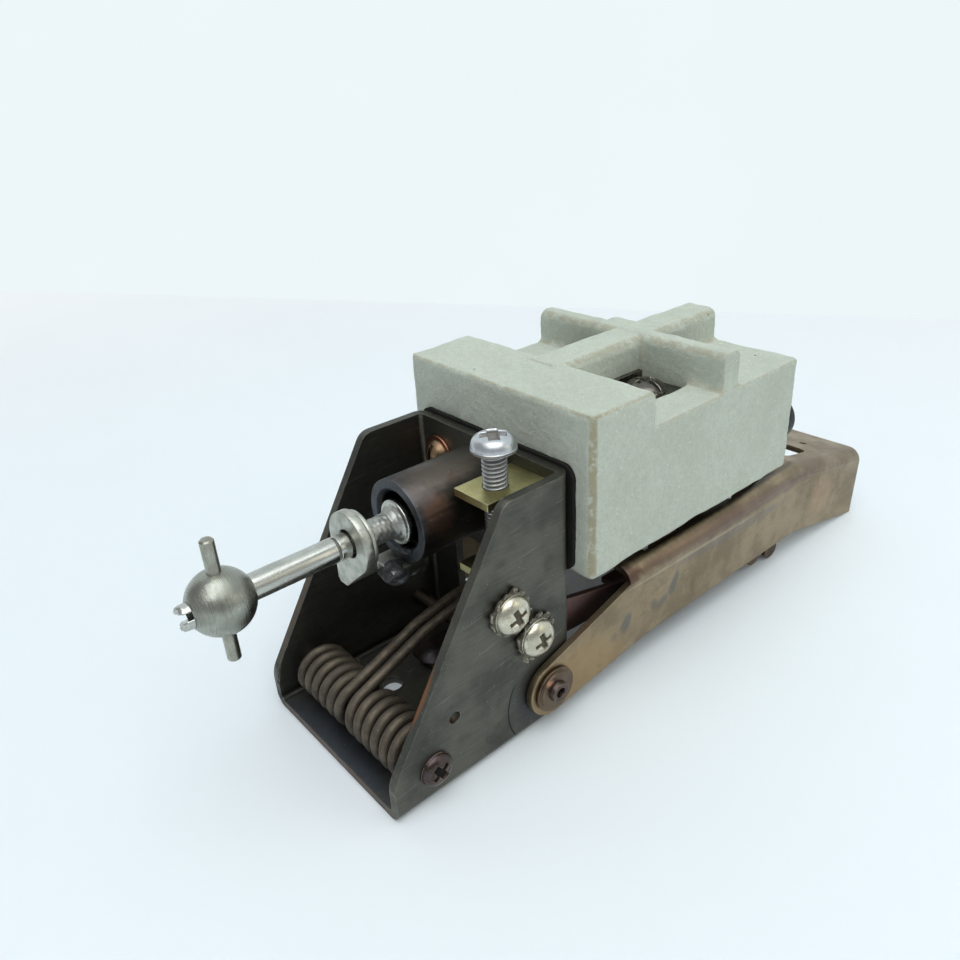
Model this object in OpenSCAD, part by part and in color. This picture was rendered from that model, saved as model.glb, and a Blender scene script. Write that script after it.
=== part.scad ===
// Double-pole spring lever switch: a pressed steel frame carries a ceramic terminal block, a bronze
// channel lever swings below the block against a double torsion spring, and a ball-ended adjusting
// rod works in a heavy tube. Millimetres. X runs from the ball (minus) to the lever's heel (plus),
// Y across, Z up. The origin is the middle of the underside of the frame's floor.

/* [Frame] */
// Length of the frame's floor
floor_len = 43.2; // [38:0.1:50]
// Width across the outside of the cheeks
frame_w = 42.6; // [40:0.1:48]
// Height of the cheeks
frame_h = 52.2; // [50:0.1:58]
// Thickness of the frame's sheet
sheet_t = 1.8; // [1.4:0.1:2.2]
// Outside radius of the frame's bends
frame_bend_r = 2.6; // [2.2:0.1:4]
// Height at which the sloped front edge of a cheek starts
cheek_toe_h = 8.3; // [6:0.1:14]
// Length of the cheek's top edge
cheek_top_len = 15.7; // [13:0.1:20]
// Radius of the corner between top edge and sloped edge
cheek_corner_r = 3.2; // [1:0.1:5]
// Height of the opening below the web
web_opening_h = 28; // [26:0.1:31]
// Radius of the small locking hole low in the near cheek
lock_hole_r = 1.2; // [0.8:0.05:1.6]
// Radius of the fixing holes in the floor
floor_hole_r = 2.2; // [1.5:0.05:2.6]
// Distance between the fixing holes
floor_hole_gap = 14.4; // [10:0.1:20]

/* [Ceramic block] */
// Length of the block
block_l = 64.7; // [60:0.1:72]
// Width of the block
block_w = 50.8; // [48:0.1:56]
// Height of the block from its underside to the top of the front ledge
block_h = 32.3; // [29:0.1:36]
// Length of the raised front ledge
ledge_l = 16.3; // [12:0.1:20]
// How far the decks lie below the ledge
deck_drop = 6.9; // [5:0.1:9]
// Thickness of the cross rib
cross_rib_t = 5.5; // [4:0.1:8]
// Thickness of the long rib
long_rib_t = 9.2; // [7:0.1:11]
// How far the cross rib stands above the ledge
rib_rise = 0.8; // [0:0.1:1.5]
// Bevel along the block's vertical edges
block_bevel = 1.1; // [0.5:0.1:1.6]
// Depth of the recesses that hold the terminals
recess_d = 2.6; // [2.2:0.1:3.2]

/* [Terminals and contacts] */
// Length of a terminal plate
plate_l = 11.4; // [10:0.1:11.8]
// Width of a terminal plate
plate_w = 11.8; // [10:0.1:12.2]
// Thickness of a terminal plate
plate_t = 1.5; // [1:0.1:2]
// Radius of the terminal screws
terminal_screw_r = 1.9; // [1.5:0.05:2.2]
// Thickness of the knife blades
blade_t = 1.2; // [0.9:0.1:1.4]
// Distance of the knife blades from the middle
blade_y = 18.7; // [18.4:0.1:18.9]
// Thickness of the jaw leaves
leaf_t = 1; // [0.8:0.05:1.1]

/* [Lever] */
// Thickness of the lever's sheet
lever_t = 1.4; // [1.1:0.1:1.5]
// Depth of the lever's side flanges
flange_depth = 18.2; // [16:0.1:19]
// Height of the top of the lever's web over the base
web_top_h = 24.9; // [24.5:0.1:25]
// Distance from the web's front edge to the bend in the lever
lever_front_l = 63.6; // [60:0.1:68]
// Length of the rear part behind the bend
lever_rear_l = 31.6; // [26:0.1:34]
// Slope of the rear part in degrees
heel_slope = 12; // [6:0.5:12]
// Outside radius of the lever's long bends
lever_bend_r = 3.4; // [2.4:0.1:5]
// Height of the pivot over the base
pivot_h = 9.2; // [8.8:0.1:9.8]
// Distance of the pivot in front of the web
pivot_back = 7; // [6:0.1:9]
// Radius of the pivot axle
axle_r = 1.7; // [1.5:0.05:2.2]
// Radius of the lever's rounded end at the pivot
lever_end_r = 5.8; // [5:0.1:6.4]

/* [Torsion spring] */
// Wire diameter of the torsion spring
spring_wire = 2.1; // [1.8:0.05:2.2]
// Mean radius of the coils
spring_mean_r = 4.45; // [4.3:0.05:4.6]
// Distance from one coil to the next
spring_pitch = 2.75; // [2.6:0.05:2.85]
// Whole turns on each side
spring_turns = 5; // [4:1:5]
// Distance between the two legs
leg_gap = 3; // [2.8:0.1:4]

/* [Barrel and rod] */
// Height of the rod's axis over the base
rod_h = 43.3; // [42.5:0.1:44]
// Outside radius of the barrel tube
tube_r = 8.1; // [7.8:0.1:8.6]
// Bore radius of the barrel tube
tube_bore_r = 5.6; // [5.3:0.1:6]
// Length of the barrel tube
tube_l = 21.2; // [18:0.1:24]
// Radius of the rod in front of the steady bracket
rod_r = 2.3; // [2.1:0.05:2.6]
// Radius of the rod behind the steady bracket
rod_rear_r = 2.2; // [2:0.05:2.25]
// Distance from the barrel's mouth to the ball's centre
ball_reach = 33.8; // [30:0.1:38]
// Radius of the ball
ball_r = 5.6; // [5:0.1:6.2]
// Length of the cross pin
pin_l = 22.7; // [18:0.1:26]
// Radius of the cross pin
pin_r = 1.15; // [0.9:0.05:1.3]

/* [Adjusting screw] */
// Thread radius of the adjusting screw
adjuster_r = 2.3; // [2:0.05:2.5]
// Head radius of the adjusting screw
adjuster_head_r = 4.1; // [3.6:0.1:4.6]
// Height of the underside of the head over the base
adjuster_head_h = 56.4; // [55:0.1:60]

/* [Hidden] */
$fn = 64;

// Clearances
shaft_gap = 0.05;
slip_gap = 0.1;
face_gap = 0.3;

// Frame
frame_x0 = -floor_len / 2;
web_back_x = floor_len / 2;
web_front_x = web_back_x - sheet_t;
cheek_y = frame_w / 2;
cheek_in_y = cheek_y - sheet_t;
top_edge_x = web_back_x - cheek_top_len;
toe_r = 7;
web_window_w = 22;
arm_slot_w = 1.9;
arm_slot_z = 15.4;
arm_slot_h = 12;
floor_hole_x = -2.6;
lock_hole_x = -7.8;
lock_hole_h = 15.4;

// Sheet between the web and the block
insulation_t = 0.8;
insulation_over = 0.7;
insulation_side = 0.2;

// Ceramic block
block_x = web_back_x + insulation_t;
block_z = web_top_h + 5.9;
under_bevel = 0.8;
block_top = block_z + block_h;
deck_z = block_top - deck_drop;
rib_x = block_x + ledge_l + 21.2;
recess_z = deck_z - recess_d;
recess_l = plate_l + 0.6;
recess_w = plate_w + 0.6;
front_recess_x = rib_x - recess_l;
rear_recess_x = rib_x + cross_rib_t;
terminal_y = long_rib_t / 2 + recess_w / 2;
terminal_x = [front_recess_x + recess_l / 2, rear_recess_x + recess_l / 2];
foot_drop = 1.5;
stop_pad_x = rear_recess_x + 4.6;
stop_pad_l = 6;
stop_pad_w = 10;

// Terminals and blades
terminal_head_r = 4.2;
terminal_head_h = 2.2;
plate_z = recess_z;
nut_across = 7.2;
nut_h = 2.8;
screw_over = 1;
foot_z = block_z - foot_drop;
foot_l = 10;
blade_l = 7.4;
blade_x = [terminal_x[0] - 6, terminal_x[1] + 6.6];
blade_tip_z = [14, 9];
blade_corner_r = 1.5;
blade_gap = 0.4;

// Jaws and bars carried below the lever's web
mouth_z = 17;
bar_t = blade_t + 2 * slip_gap;
bar_bottom = 4.2;
bar_h = 4;
front_jaw_x = blade_x[0] + blade_l / 2;
front_jaw_l = 10;
jaw_toe_x = blade_x[1] + 6.5;
toe_l = 5.1;
toe_slit = 2.6;
rear_jaw_x = blade_x[1] - 1;
rear_jaw_end = jaw_toe_x + 2 * toe_l + toe_slit;
bar_front_z = 8.4;
hanger_x = (front_jaw_x + rear_jaw_x) / 2 + 1;
hanger_l = 9;
hanger_w = 6;
hanger_wrap = 0.6;
hanger_y = blade_y - 2.2;
hanger_screw_r = 1.3;
rivet_r = 1;
rivet_head_r = 1.6;
rivet_head_h = 0.4;
press_gap = 0.02;

// Lever
pivot_x = web_back_x - pivot_back;
lever_in_y = cheek_y + face_gap;
lever_y = lever_in_y + lever_t;
web_front_edge = web_back_x + 15.2;
bend_x = web_front_edge + lever_front_l;
flange_bottom = web_top_h - flange_depth;
mitre_inset = 0.02;
mitre_lap = 0.05;
heel_l = lever_rear_l + 6;
heel_bottom_x = bend_x + lever_rear_l - 1.8;
arm_rise = 16.8;

// Floor strap, stop arm
strap_x = 5.9;
strap_l = 12.6;
strap_w = 24;
strap_t = 1.4;
strap_rivet_y = 7;
arm_t = 1.2;
cheek_screw_r = 2.05;
cheek_head_r = 3.8;
cheek_screws_at = [[5.4, 31], [11.2, 22.8]];
adjuster_x = 12;
adjuster_y = -12.1;
arm_pad_z = 27;
adjuster_head_t = 3.4;

// Spring arbor and spring
arbor_x = -12.9;
arbor_h = 7.2;
arbor_r = 2.4;
coil_x = -13.4;
coil_h = sheet_t + 0.3 + spring_mean_r + spring_wire / 2;
leg_angle = 22;
arbor_screw_r = 1.7;
arbor_head_r = 3.5;

// Barrel, rod and bracket
tube_x = web_front_x - tube_l;
bracket_x = tube_x - 10.5;
bracket_t = 1.9;
bracket_r = 5.9;
bracket_foot_z = rod_h - tube_r - bracket_t;
eye_gap = 0.45;
foot_far_y = 5.2;
foot_near_y = 2.4;
foot_pad_y = -2.6;
foot_lap = 4.4;
rivet_x = tube_x + 2.2;
rod_shoulder_x = bracket_x - face_gap;
ball_x = tube_x - ball_reach;
rod_tip_x = ball_x - 6.8;
tip_slot_w = 1.8;
rod_end_x = tube_x + 16;
disc_r = 4.3;
rod_rough_r = 2.5;
disc_t = 1;
clip_t = 0.8;
clip_r = 5.4;
follower_x = tube_x + 8.5;
follower_l = 4;
barrel_wire = 1.2;
barrel_turns = 3;
barrel_mean_r = tube_bore_r - barrel_wire / 2 - 0.3;

// Brass bracket and front screws
brass_t = 1.5;
brass_top = 50;
brass_bottom = 34.6;
brass_l = 13.6;
brass_w = 9;
front_screw_y = 13.9;
front_screw_z = 45;
front_screw_r = 1.75;
socket_l = 12;
front_head_r = 3.1;
front_head_h = 2.4;
copper_r = 3.9;
copper_t = 0.7;

module along_x(x) translate([x, 0, 0]) rotate([90, 0, 90]) children();
module along_y(y) translate([0, y, 0]) rotate([90, 0, 0]) children();
module both_sides() for (side = [-1, 1]) scale_y(side) children();
module scale_y(side) if (side > 0) children(); else mirror([0, 1, 0]) children();

// Round bar along X from x0 to x1, centred on y = 0, z = 0
module bar_x(x0, x1, r) translate([x0, 0, 0]) rotate([0, 90, 0]) cylinder(r = r, h = x1 - x0);

// Round bar along Y from y0 to y1 at a place in XZ
module bar_y(x, z, y0, y1, r) translate([x, y1, z]) rotate([90, 0, 0]) cylinder(r = r, h = y1 - y0);

// Plate in the XZ plane, its outline drawn in 2-D and raised from y0 to y1
module plate_y(y0, y1) translate([0, y1, 0]) rotate([90, 0, 0]) linear_extrude(y1 - y0) children();

// Rectangle with rounded corners
module soft_square(x0, y0, x1, y1, r) {
  translate([x0 + r, y0]) square([x1 - x0 - 2 * r, y1 - y0]);
  translate([x0, y0 + r]) square([x1 - x0, y1 - y0 - 2 * r]);
  for (x = [x0 + r, x1 - r])
    for (y = [y0 + r, y1 - r])
      translate([x, y]) circle(r);
}

// Pan head whose flat seat lies at z = 0, with a crossed recess
module pan_head(r, h, slot_w) {
  difference() {
    union() {
      cylinder(r = r, h = h * 0.45);
      translate([0, 0, h * 0.45]) intersection() {
        translate([0, 0, h * 0.55 - dome_r(r, h * 0.55)]) sphere(r = dome_r(r, h * 0.55));
        cylinder(r = r, h = h);
      }
    }
    for (turn = [0, 90])
      rotate([0, 0, turn]) translate([-r * 0.52, -slot_w / 2, h * 0.4]) cube([r * 1.04, slot_w, h]);
  }
}

// Radius of a ball whose cap is r wide and h high
function dome_r(r, h) = (r * r + h * h) / (2 * h);

// Tube swept along points: six sides, a ring at every point, closed at both ends
function unit(v) = v / norm(v);
function heading(p, i) = unit(p[min(i + 1, len(p) - 1)] - p[max(i - 1, 0)]);
function across(p, i, up) = unit(cross(heading(p, i), up));
function ring_point(p, i, k, r, up) =
  let (a = across(p, i, up), b = cross(a, heading(p, i)))
  p[i] + r * (cos(60 * k) * a + sin(60 * k) * b);

module swept_tube(p, r, up) {
  last = len(p) - 1;
  skin = [for (i = [0 : last]) for (k = [0 : 5]) ring_point(p, i, k, r, up)];
  sides = [for (i = [0 : last - 1]) for (k = [0 : 5])
    let (a = 6 * i + k, b = 6 * i + (k + 1) % 6)
    each [[a, b, b + 6], [a, b + 6, a + 6]]];
  caps = [for (k = [1 : 4]) each [[0, k + 1, k], [6 * last, 6 * last + k, 6 * last + k + 1]]];
  polyhedron(points = skin, faces = concat(sides, caps));
}

// Torsion spring: one wire, with a coil group on each side and a loop below the lever's web
leg_start = 90 + leg_angle;
coil_sweep = 360 * spring_turns + 270 - leg_start;
coil_steps = 8 * spring_turns + 4;
coil_end_y = leg_gap / 2 + spring_pitch * coil_sweep / 360;
loop_z = web_top_h - lever_t - spring_wire / 2 - slip_gap;
loop_x = web_front_edge + 9;
heel_len = 9;
function coil_point(t) =
  let (a = leg_start + coil_sweep * t)
  [coil_x + spring_mean_r * cos(a), leg_gap / 2 + spring_pitch * coil_sweep * t / 360,
   coil_h + spring_mean_r * sin(a)];
leg_foot = coil_point(0);
rise_x = 1;
rise_z = leg_foot[2] + (rise_x - leg_foot[0]) * tan(leg_angle);
function bezier(a, b, c, t) = (1 - t) * (1 - t) * a + 2 * t * (1 - t) * b + t * t * c;
half_spring = concat(
  [for (i = [0 : 2]) [coil_point(1)[0] + heel_len * (3 - i) / 3, coil_end_y, coil_point(1)[2]]],
  [for (i = [coil_steps : -1 : 0]) coil_point(i / coil_steps)],
  [for (i = [1 : 2]) leg_foot + ([rise_x, leg_gap / 2, rise_z] - leg_foot) * i / 3],
  [for (i = [0 : 4]) bezier([rise_x, leg_gap / 2, rise_z], [12, leg_gap / 2, loop_z - 1.2],
    [loop_x - 8, leg_gap / 2, loop_z], i / 4)],
  [for (a = [90 : -30 : 0]) [loop_x + leg_gap / 2 * cos(a), leg_gap / 2 * sin(a), loop_z]]);
spring_path = concat(half_spring,
  [for (i = [len(half_spring) - 2 : -1 : 0]) [half_spring[i][0], -half_spring[i][1], half_spring[i][2]]]);

// Least distance between stretches of a wire that aren't neighbours, less its thickness
function self_gap(p, skip, wire) =
  min([for (i = [0 : len(p) - 1]) for (j = [i + skip : len(p) - 1]) norm(p[i] - p[j])]) - wire;
spring_gap = self_gap([for (i = [0 : len(half_spring) - 4]) half_spring[i]], 6, spring_wire);
echo(torsion_spring_gap = spring_gap, legs_apart = leg_gap - spring_wire);

barrel_x0 = follower_x + follower_l + 0.1;
barrel_x1 = web_front_x - 0.1;
barrel_path = [for (i = [0 : 8 * barrel_turns])
  let (a = 45 * i, t = i / (8 * barrel_turns))
  [barrel_x0 + barrel_wire / 2 + (barrel_x1 - barrel_x0 - barrel_wire) * t,
   barrel_mean_r * cos(a), rod_h + barrel_mean_r * sin(a)]];
barrel_gap = self_gap(barrel_path, 6, barrel_wire);
echo(barrel_spring_gap = barrel_gap);

// Rounded corner at b between a and c: half its angle, both tangent points, the arc's centre
function half_angle(a, b, c) = acos(unit(a - b) * unit(c - b)) / 2;
function toward(a, b, c, r) = b + unit(a - b) * r / tan(half_angle(a, b, c));
function arc_centre(a, b, c, r) =
  b + unit(unit(a - b) + unit(c - b)) * r / sin(half_angle(a, b, c));

// Side outline of the frame: floor, rounded toe, slope, rounded top corner and top edge
cheek_pts = [[frame_x0, 0], [frame_x0, cheek_toe_h], [top_edge_x, frame_h], [web_back_x, frame_h],
  [web_back_x, 0]];
module cheek_outline() {
  p = cheek_pts;
  intersection() {
    polygon(p);
    union() {
      polygon([p[0], toward(p[0], p[1], p[2], toe_r), toward(p[2], p[1], p[0], toe_r),
        toward(p[1], p[2], p[3], cheek_corner_r), toward(p[3], p[2], p[1], cheek_corner_r), p[3], p[4]]);
      translate(arc_centre(p[0], p[1], p[2], toe_r)) circle(toe_r);
      translate(arc_centre(p[1], p[2], p[3], cheek_corner_r)) circle(cheek_corner_r);
    }
  }
}

module frame_box(inset) {
  r = frame_bend_r - inset;
  intersection() {
    // Bends between the floor and the cheeks
    along_x(frame_x0 - 1) linear_extrude(floor_len + 2 - inset)
      union() {
        soft_square(-cheek_y + inset, inset, cheek_y - inset, frame_h, r);
        translate([-cheek_y + inset, frame_h / 2]) square([frame_w - 2 * inset, frame_h / 2 + 1]);
      }
    // Bends between the web and the cheeks
    linear_extrude(frame_h + 1)
      union() {
        soft_square(frame_x0, -cheek_y + inset, web_back_x - inset, cheek_y - inset, r);
        translate([frame_x0 - 1, -cheek_y + inset]) square([floor_len / 2, frame_w - 2 * inset]);
      }
  }
}

module frame() {
  color([0.27, 0.27, 0.26])
  difference() {
    intersection() {
      frame_box(0);
      plate_y(-cheek_y - 1, cheek_y + 1) cheek_outline();
    }
    frame_box(sheet_t);
    // Window in the web for the spring's legs, with a slot beside it for the stop arm
    along_x(web_front_x - 1) linear_extrude(sheet_t + 2)
      union() {
        soft_square(-web_window_w / 2, sheet_t, web_window_w / 2, web_opening_h, 2);
        translate([-web_window_w / 2, sheet_t]) square([web_window_w, web_opening_h / 2]);
      }
    translate([web_front_x - frame_bend_r, -cheek_in_y - slip_gap, arm_slot_z])
      cube([frame_bend_r + sheet_t + 1, arm_slot_w, arm_slot_h]);
    // Pivot and arbor holes through both cheeks, and the locking hole in the near one
    bar_y(pivot_x, pivot_h, -cheek_y - 1, cheek_y + 1, axle_r + shaft_gap);
    bar_y(arbor_x, arbor_h, -cheek_y - 1, cheek_y + 1, arbor_screw_r + shaft_gap);
    bar_y(lock_hole_x, lock_hole_h, -cheek_y - 1, -cheek_in_y + 1, lock_hole_r);
    // Screws of the stop arm in the near cheek
    for (at = cheek_screws_at)
      bar_y(at[0], at[1], -cheek_y - 1, -cheek_in_y + 1, cheek_screw_r + shaft_gap);
    // Fixing holes and rivet holes in the floor
    for (side = [-1, 1]) {
      translate([floor_hole_x, side * floor_hole_gap / 2, -1]) cylinder(r = floor_hole_r, h = sheet_t + 2);
      translate([strap_x + 2.1, side * strap_rivet_y, -1]) cylinder(r = 1.3, h = sheet_t + 2);
      // Screws that hold the block
      translate([0, side * front_screw_y, front_screw_z])
        bar_x(web_front_x - 1, web_back_x + 1, front_screw_r + shaft_gap);
    }
  }
}

module insulating_sheet() {
  color([0.06, 0.06, 0.06])
  difference() {
    along_x(web_back_x) linear_extrude(insulation_t)
      soft_square(-cheek_y - insulation_side, block_z + 0.4, cheek_y + insulation_side,
        frame_h + insulation_over, frame_bend_r);
    for (side = [-1, 1])
      translate([0, side * front_screw_y, front_screw_z])
        bar_x(web_back_x - 1, block_x + 1, front_screw_r + shaft_gap);
  }
}

// Plan of the block with bevelled vertical edges
module block_plan(bevel) {
  x1 = block_x + block_l;
  y1 = block_w / 2;
  polygon([[block_x + bevel, -y1], [x1 - bevel, -y1], [x1, -y1 + bevel], [x1, y1 - bevel],
    [x1 - bevel, y1], [block_x + bevel, y1], [block_x, y1 - bevel], [block_x, -y1 + bevel]]);
}

// Rib along X whose top is rounded
module long_rib() {
  rib_top = block_top + rib_rise * 0.5;
  along_x(block_x + ledge_l - 3) linear_extrude(block_l - ledge_l + 3 - 0.4)
    union() {
      translate([-long_rib_t / 2, deck_z - 2]) square([long_rib_t, rib_top - deck_z + 2 - 2]);
      soft_square(-long_rib_t / 2, deck_z, long_rib_t / 2, rib_top, 2);
      // Fillets at the foot
      for (side = [-1, 1])
        difference() {
          translate([side > 0 ? long_rib_t / 2 : -long_rib_t / 2 - 1.2, deck_z - 0.5]) square([1.2, 1.7]);
          translate([side * (long_rib_t / 2 + 1.2), deck_z + 1.2]) circle(1.2);
        }
    }
}

// Rib along Y whose top is rounded
module cross_rib() {
  rib_top = block_top + rib_rise;
  plate_y(-block_w / 2 + 0.4, block_w / 2 - 0.4)
    union() {
      translate([rib_x, deck_z - 2]) square([cross_rib_t, rib_top - deck_z + 2 - 2]);
      soft_square(rib_x, deck_z, rib_x + cross_rib_t, rib_top, 2);
      for (side = [0, 1])
        difference() {
          translate([side > 0 ? rib_x + cross_rib_t : rib_x - 1.2, deck_z - 0.5]) square([1.2, 1.7]);
          translate([side > 0 ? rib_x + cross_rib_t + 1.2 : rib_x - 1.2, deck_z + 1.2]) circle(1.2);
        }
    }
}

module ceramic_block() {
  color([0.72, 0.74, 0.70])
  difference() {
    union() {
      translate([0, 0, block_z]) linear_extrude(deck_z - block_z) block_plan(block_bevel);
      // Ledge with softened top edges
      intersection() {
        translate([0, 0, block_z + 1]) linear_extrude(block_h + 1) block_plan(block_bevel);
        plate_y(-block_w / 2, block_w / 2)
          soft_square(block_x, block_z + 2, block_x + ledge_l, block_top, 1);
        along_x(block_x) linear_extrude(ledge_l)
          soft_square(-block_w / 2, block_z, block_w / 2, block_top, 1);
      }
      long_rib();
      cross_rib();
      // Pad that stops the lever's upward swing
      translate([0, 0, web_top_h + face_gap]) linear_extrude(block_z - web_top_h)
        soft_square(stop_pad_x, -stop_pad_w / 2, stop_pad_x + stop_pad_l, stop_pad_w / 2, 1.5);
    }
    // Bevel under the front and side edges
    for (side = [-1, 1])
      translate([block_x - 1, side * (block_w / 2), block_z]) rotate([45, 0, 0])
        translate([0, -under_bevel / 2, -under_bevel / 2]) cube([block_l + 2, under_bevel, under_bevel]);
    translate([block_x, -block_w / 2 - 1, block_z]) rotate([0, 45, 0])
      translate([-under_bevel / 2, 0, -under_bevel / 2]) cube([under_bevel, block_w + 2, under_bevel]);
    for (side = [-1, 1])
      for (k = [0, 1]) {
        // Recesses for the terminals
        translate([k == 0 ? front_recess_x : rear_recess_x,
            side * terminal_y - recess_w / 2, recess_z])
          cube([recess_l, recess_w, deck_drop + recess_d + 3]);
        // Holes for the terminal screws
        translate([terminal_x[k], side * terminal_y, block_z - 1])
          cylinder(r = terminal_screw_r + shaft_gap, h = block_h);
      }
    // Sockets for the front screws and the rear caps
    for (side = [-1, 1]) {
      translate([0, side * front_screw_y, front_screw_z])
          bar_x(block_x - 1, block_x + socket_l + 0.2, front_screw_r + shaft_gap);
      translate([0, side * rear_cap_y, rear_cap_z])
        bar_x(block_x + block_l - cap_shank_l - 0.2, block_x + block_l + 1, cap_shank_r + shaft_gap);
    }
  }
}

module terminal_plates() {
  color([0.42, 0.40, 0.37])
  for (side = [-1, 1])
    for (k = [0, 1])
      translate([terminal_x[k], side * terminal_y, plate_z])
        difference() {
          union() {
            linear_extrude(plate_t)
              soft_square(-plate_l / 2, -plate_w / 2, plate_l / 2, plate_w / 2, 0.8);
            // Upturned lip that keeps the wire under the screw
            translate([-plate_l / 2 + 0.4, -side * (plate_w / 2) - (side > 0 ? 0 : 1), 0])
              cube([plate_l - 0.8, 1, plate_t + 1.6]);
          }
          translate([0, 0, -1]) cylinder(r = terminal_screw_r + shaft_gap, h = plate_t + 3);
        }
}

module terminal_screws() {
  color([0.47, 0.44, 0.39])
  for (side = [-1, 1])
    for (k = [0, 1])
      translate([terminal_x[k], side * terminal_y, 0]) {
        translate([0, 0, foot_z - nut_h - screw_over])
          cylinder(r = terminal_screw_r, h = plate_z + plate_t - foot_z + nut_h + screw_over);
        translate([0, 0, plate_z + plate_t]) pan_head(terminal_head_r, terminal_head_h, 1);
      }
}

module terminal_nuts() {
  color([0.62, 0.52, 0.30])
  for (side = [-1, 1])
    for (k = [0, 1])
      translate([terminal_x[k], side * terminal_y, foot_z - nut_h])
        difference() {
          cylinder(d = nut_across / cos(30), h = nut_h, $fn = 6);
          translate([0, 0, -1]) cylinder(r = terminal_screw_r + shaft_gap, h = nut_h + 2);
        }
}

// Knife blade: a foot clamped below the block and a blade that hangs into its jaw
module knife_blade(x0, tip_z, foot_x) {
  foot_x0 = foot_x - foot_l / 2;
  arm_x0 = min(x0, foot_x0);
  arm_x1 = max(x0 + blade_l, foot_x0 + foot_l);
  blade_out_y = blade_y + blade_t / 2;
  difference() {
    union() {
      translate([foot_x0, terminal_y - foot_l / 2, foot_z])
        cube([foot_l, blade_out_y - terminal_y + foot_l / 2, foot_drop]);
      translate([arm_x0, blade_out_y - blade_t - 2, foot_z])
        cube([arm_x1 - arm_x0, blade_t + 2, foot_drop]);
      plate_y(blade_out_y - blade_t, blade_out_y)
        union() {
          translate([x0, tip_z + blade_corner_r])
            square([blade_l, foot_z + foot_drop / 2 - tip_z - blade_corner_r]);
          soft_square(x0, tip_z, x0 + blade_l, foot_z, blade_corner_r);
        }
    }
    translate([foot_x, terminal_y, foot_z - 1])
      cylinder(r = terminal_screw_r + shaft_gap, h = foot_drop + 2);
  }
}

module knife_blades() {
  color([0.66, 0.42, 0.29])
  both_sides()
    for (k = [0, 1]) knife_blade(blade_x[k], blade_tip_z[k], terminal_x[k]);
}

// Screw along X whose head faces the front
module front_screw(seat_x) {
  bar_x(seat_x, block_x + socket_l, front_screw_r);
  translate([seat_x, 0, 0]) rotate([0, -90, 0])
    difference() {
      intersection() {
        cylinder(r = front_head_r, h = front_head_h);
        translate([0, 0, front_head_h - dome_r(front_head_r, front_head_h)])
          sphere(r = dome_r(front_head_r, front_head_h));
      }
      translate([-front_head_r - 1, -0.45, front_head_h * 0.55]) cube([2 * front_head_r + 2, 0.9, 3]);
    }
}

module front_screws() {
  color([0.62, 0.45, 0.28])
  for (side = [-1, 1])
    translate([0, side * front_screw_y, front_screw_z])
      front_screw(web_front_x - copper_t - (side < 0 ? brass_t : 0));
}

// The near ring is smaller, to fit below the brass bracket's top
function ring_r(side) = side < 0 ? brass_top - brass_t - front_screw_z - slip_gap : copper_r;
function ring_seat(side) = web_front_x - (side < 0 ? brass_t : 0);
module copper_washers() {
  color([0.62, 0.34, 0.23])
  for (side = [-1, 1])
    translate([0, side * front_screw_y, front_screw_z])
      difference() {
        bar_x(ring_seat(side) - copper_t, ring_seat(side), ring_r(side));
        bar_x(web_front_x - 5, web_front_x + 1, front_screw_r + shaft_gap);
      }
}

// Black caps on the rear face
rear_cap_y = 19;
rear_cap_z = 40.3;
rear_cap_r = 5.6;
rear_cap_h = 4;
cap_round = 1.2;
cap_shank_r = 1.8;
cap_shank_l = 8;
module rear_caps() {
  color([0.05, 0.05, 0.05])
  for (side = [-1, 1])
    translate([block_x + block_l, side * rear_cap_y, rear_cap_z]) {
      // Cap whose outer edge is rounded
      rotate([0, 90, 0]) rotate_extrude() {
        square([rear_cap_r, rear_cap_h - cap_round]);
        square([rear_cap_r - cap_round, rear_cap_h]);
        intersection() {
          translate([rear_cap_r - cap_round, rear_cap_h - cap_round]) circle(cap_round);
          square([rear_cap_r, rear_cap_h]);
        }
      }
      translate([-cap_shank_l, 0, 0]) rotate([0, 90, 0]) cylinder(r = cap_shank_r, h = cap_shank_l + 0.5);
    }
}

module barrel_tube() {
  color([0.30, 0.26, 0.25])
  translate([0, 0, rod_h])
    difference() {
      bar_x(tube_x, web_front_x, tube_r);
      bar_x(tube_x - 1, web_front_x + 1, tube_bore_r);
      // Chamfer at the mouth
      translate([tube_x - 0.01, 0, 0]) rotate([0, 90, 0])
        cylinder(r1 = tube_bore_r + 0.8, r2 = tube_bore_r, h = 0.8);
      // Hole for the rivet of the steady bracket
      translate([rivet_x, 0, -tube_r - 1]) cylinder(r = 1.2, h = 5);
    }
}

// The eye's plate narrows to one lower corner, from which its foot runs back below the tube
foot_corner = [foot_near_y, bracket_foot_z - rod_h];
corner_turn = atan2(foot_corner[1], foot_corner[0]) - acos(bracket_r / norm(foot_corner));
module steady_bracket() {
  foot_end_x = tube_x + foot_lap;
  color([0.66, 0.65, 0.60])
  difference() {
    union() {
      along_x(bracket_x) linear_extrude(bracket_t)
        translate([0, rod_h]) {
          circle(bracket_r);
          polygon([[0, 0], bracket_r * [cos(corner_turn), sin(corner_turn)], foot_corner,
            [foot_far_y - 0.6, foot_corner[1]], [foot_far_y, foot_corner[1] + 0.8], [foot_far_y, 0]]);
        }
      translate([bracket_x + bracket_t / 2, foot_near_y, bracket_foot_z])
        cube([foot_end_x - bracket_x - bracket_t / 2, foot_far_y - 0.6 - foot_near_y, bracket_t]);
      // Pad under the tube's mouth, for the rivet
      translate([tube_x - 3.6, foot_pad_y, bracket_foot_z])
        cube([foot_lap + 3.6, foot_far_y - 0.6 - foot_pad_y, bracket_t]);
    }
    translate([0, 0, rod_h]) bar_x(bracket_x - 1, bracket_x + bracket_t + 1, rod_rear_r + eye_gap);
    translate([rivet_x, 0, bracket_foot_z - 1]) cylinder(r = 1.2, h = bracket_t + 2);
  }
}

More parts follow.
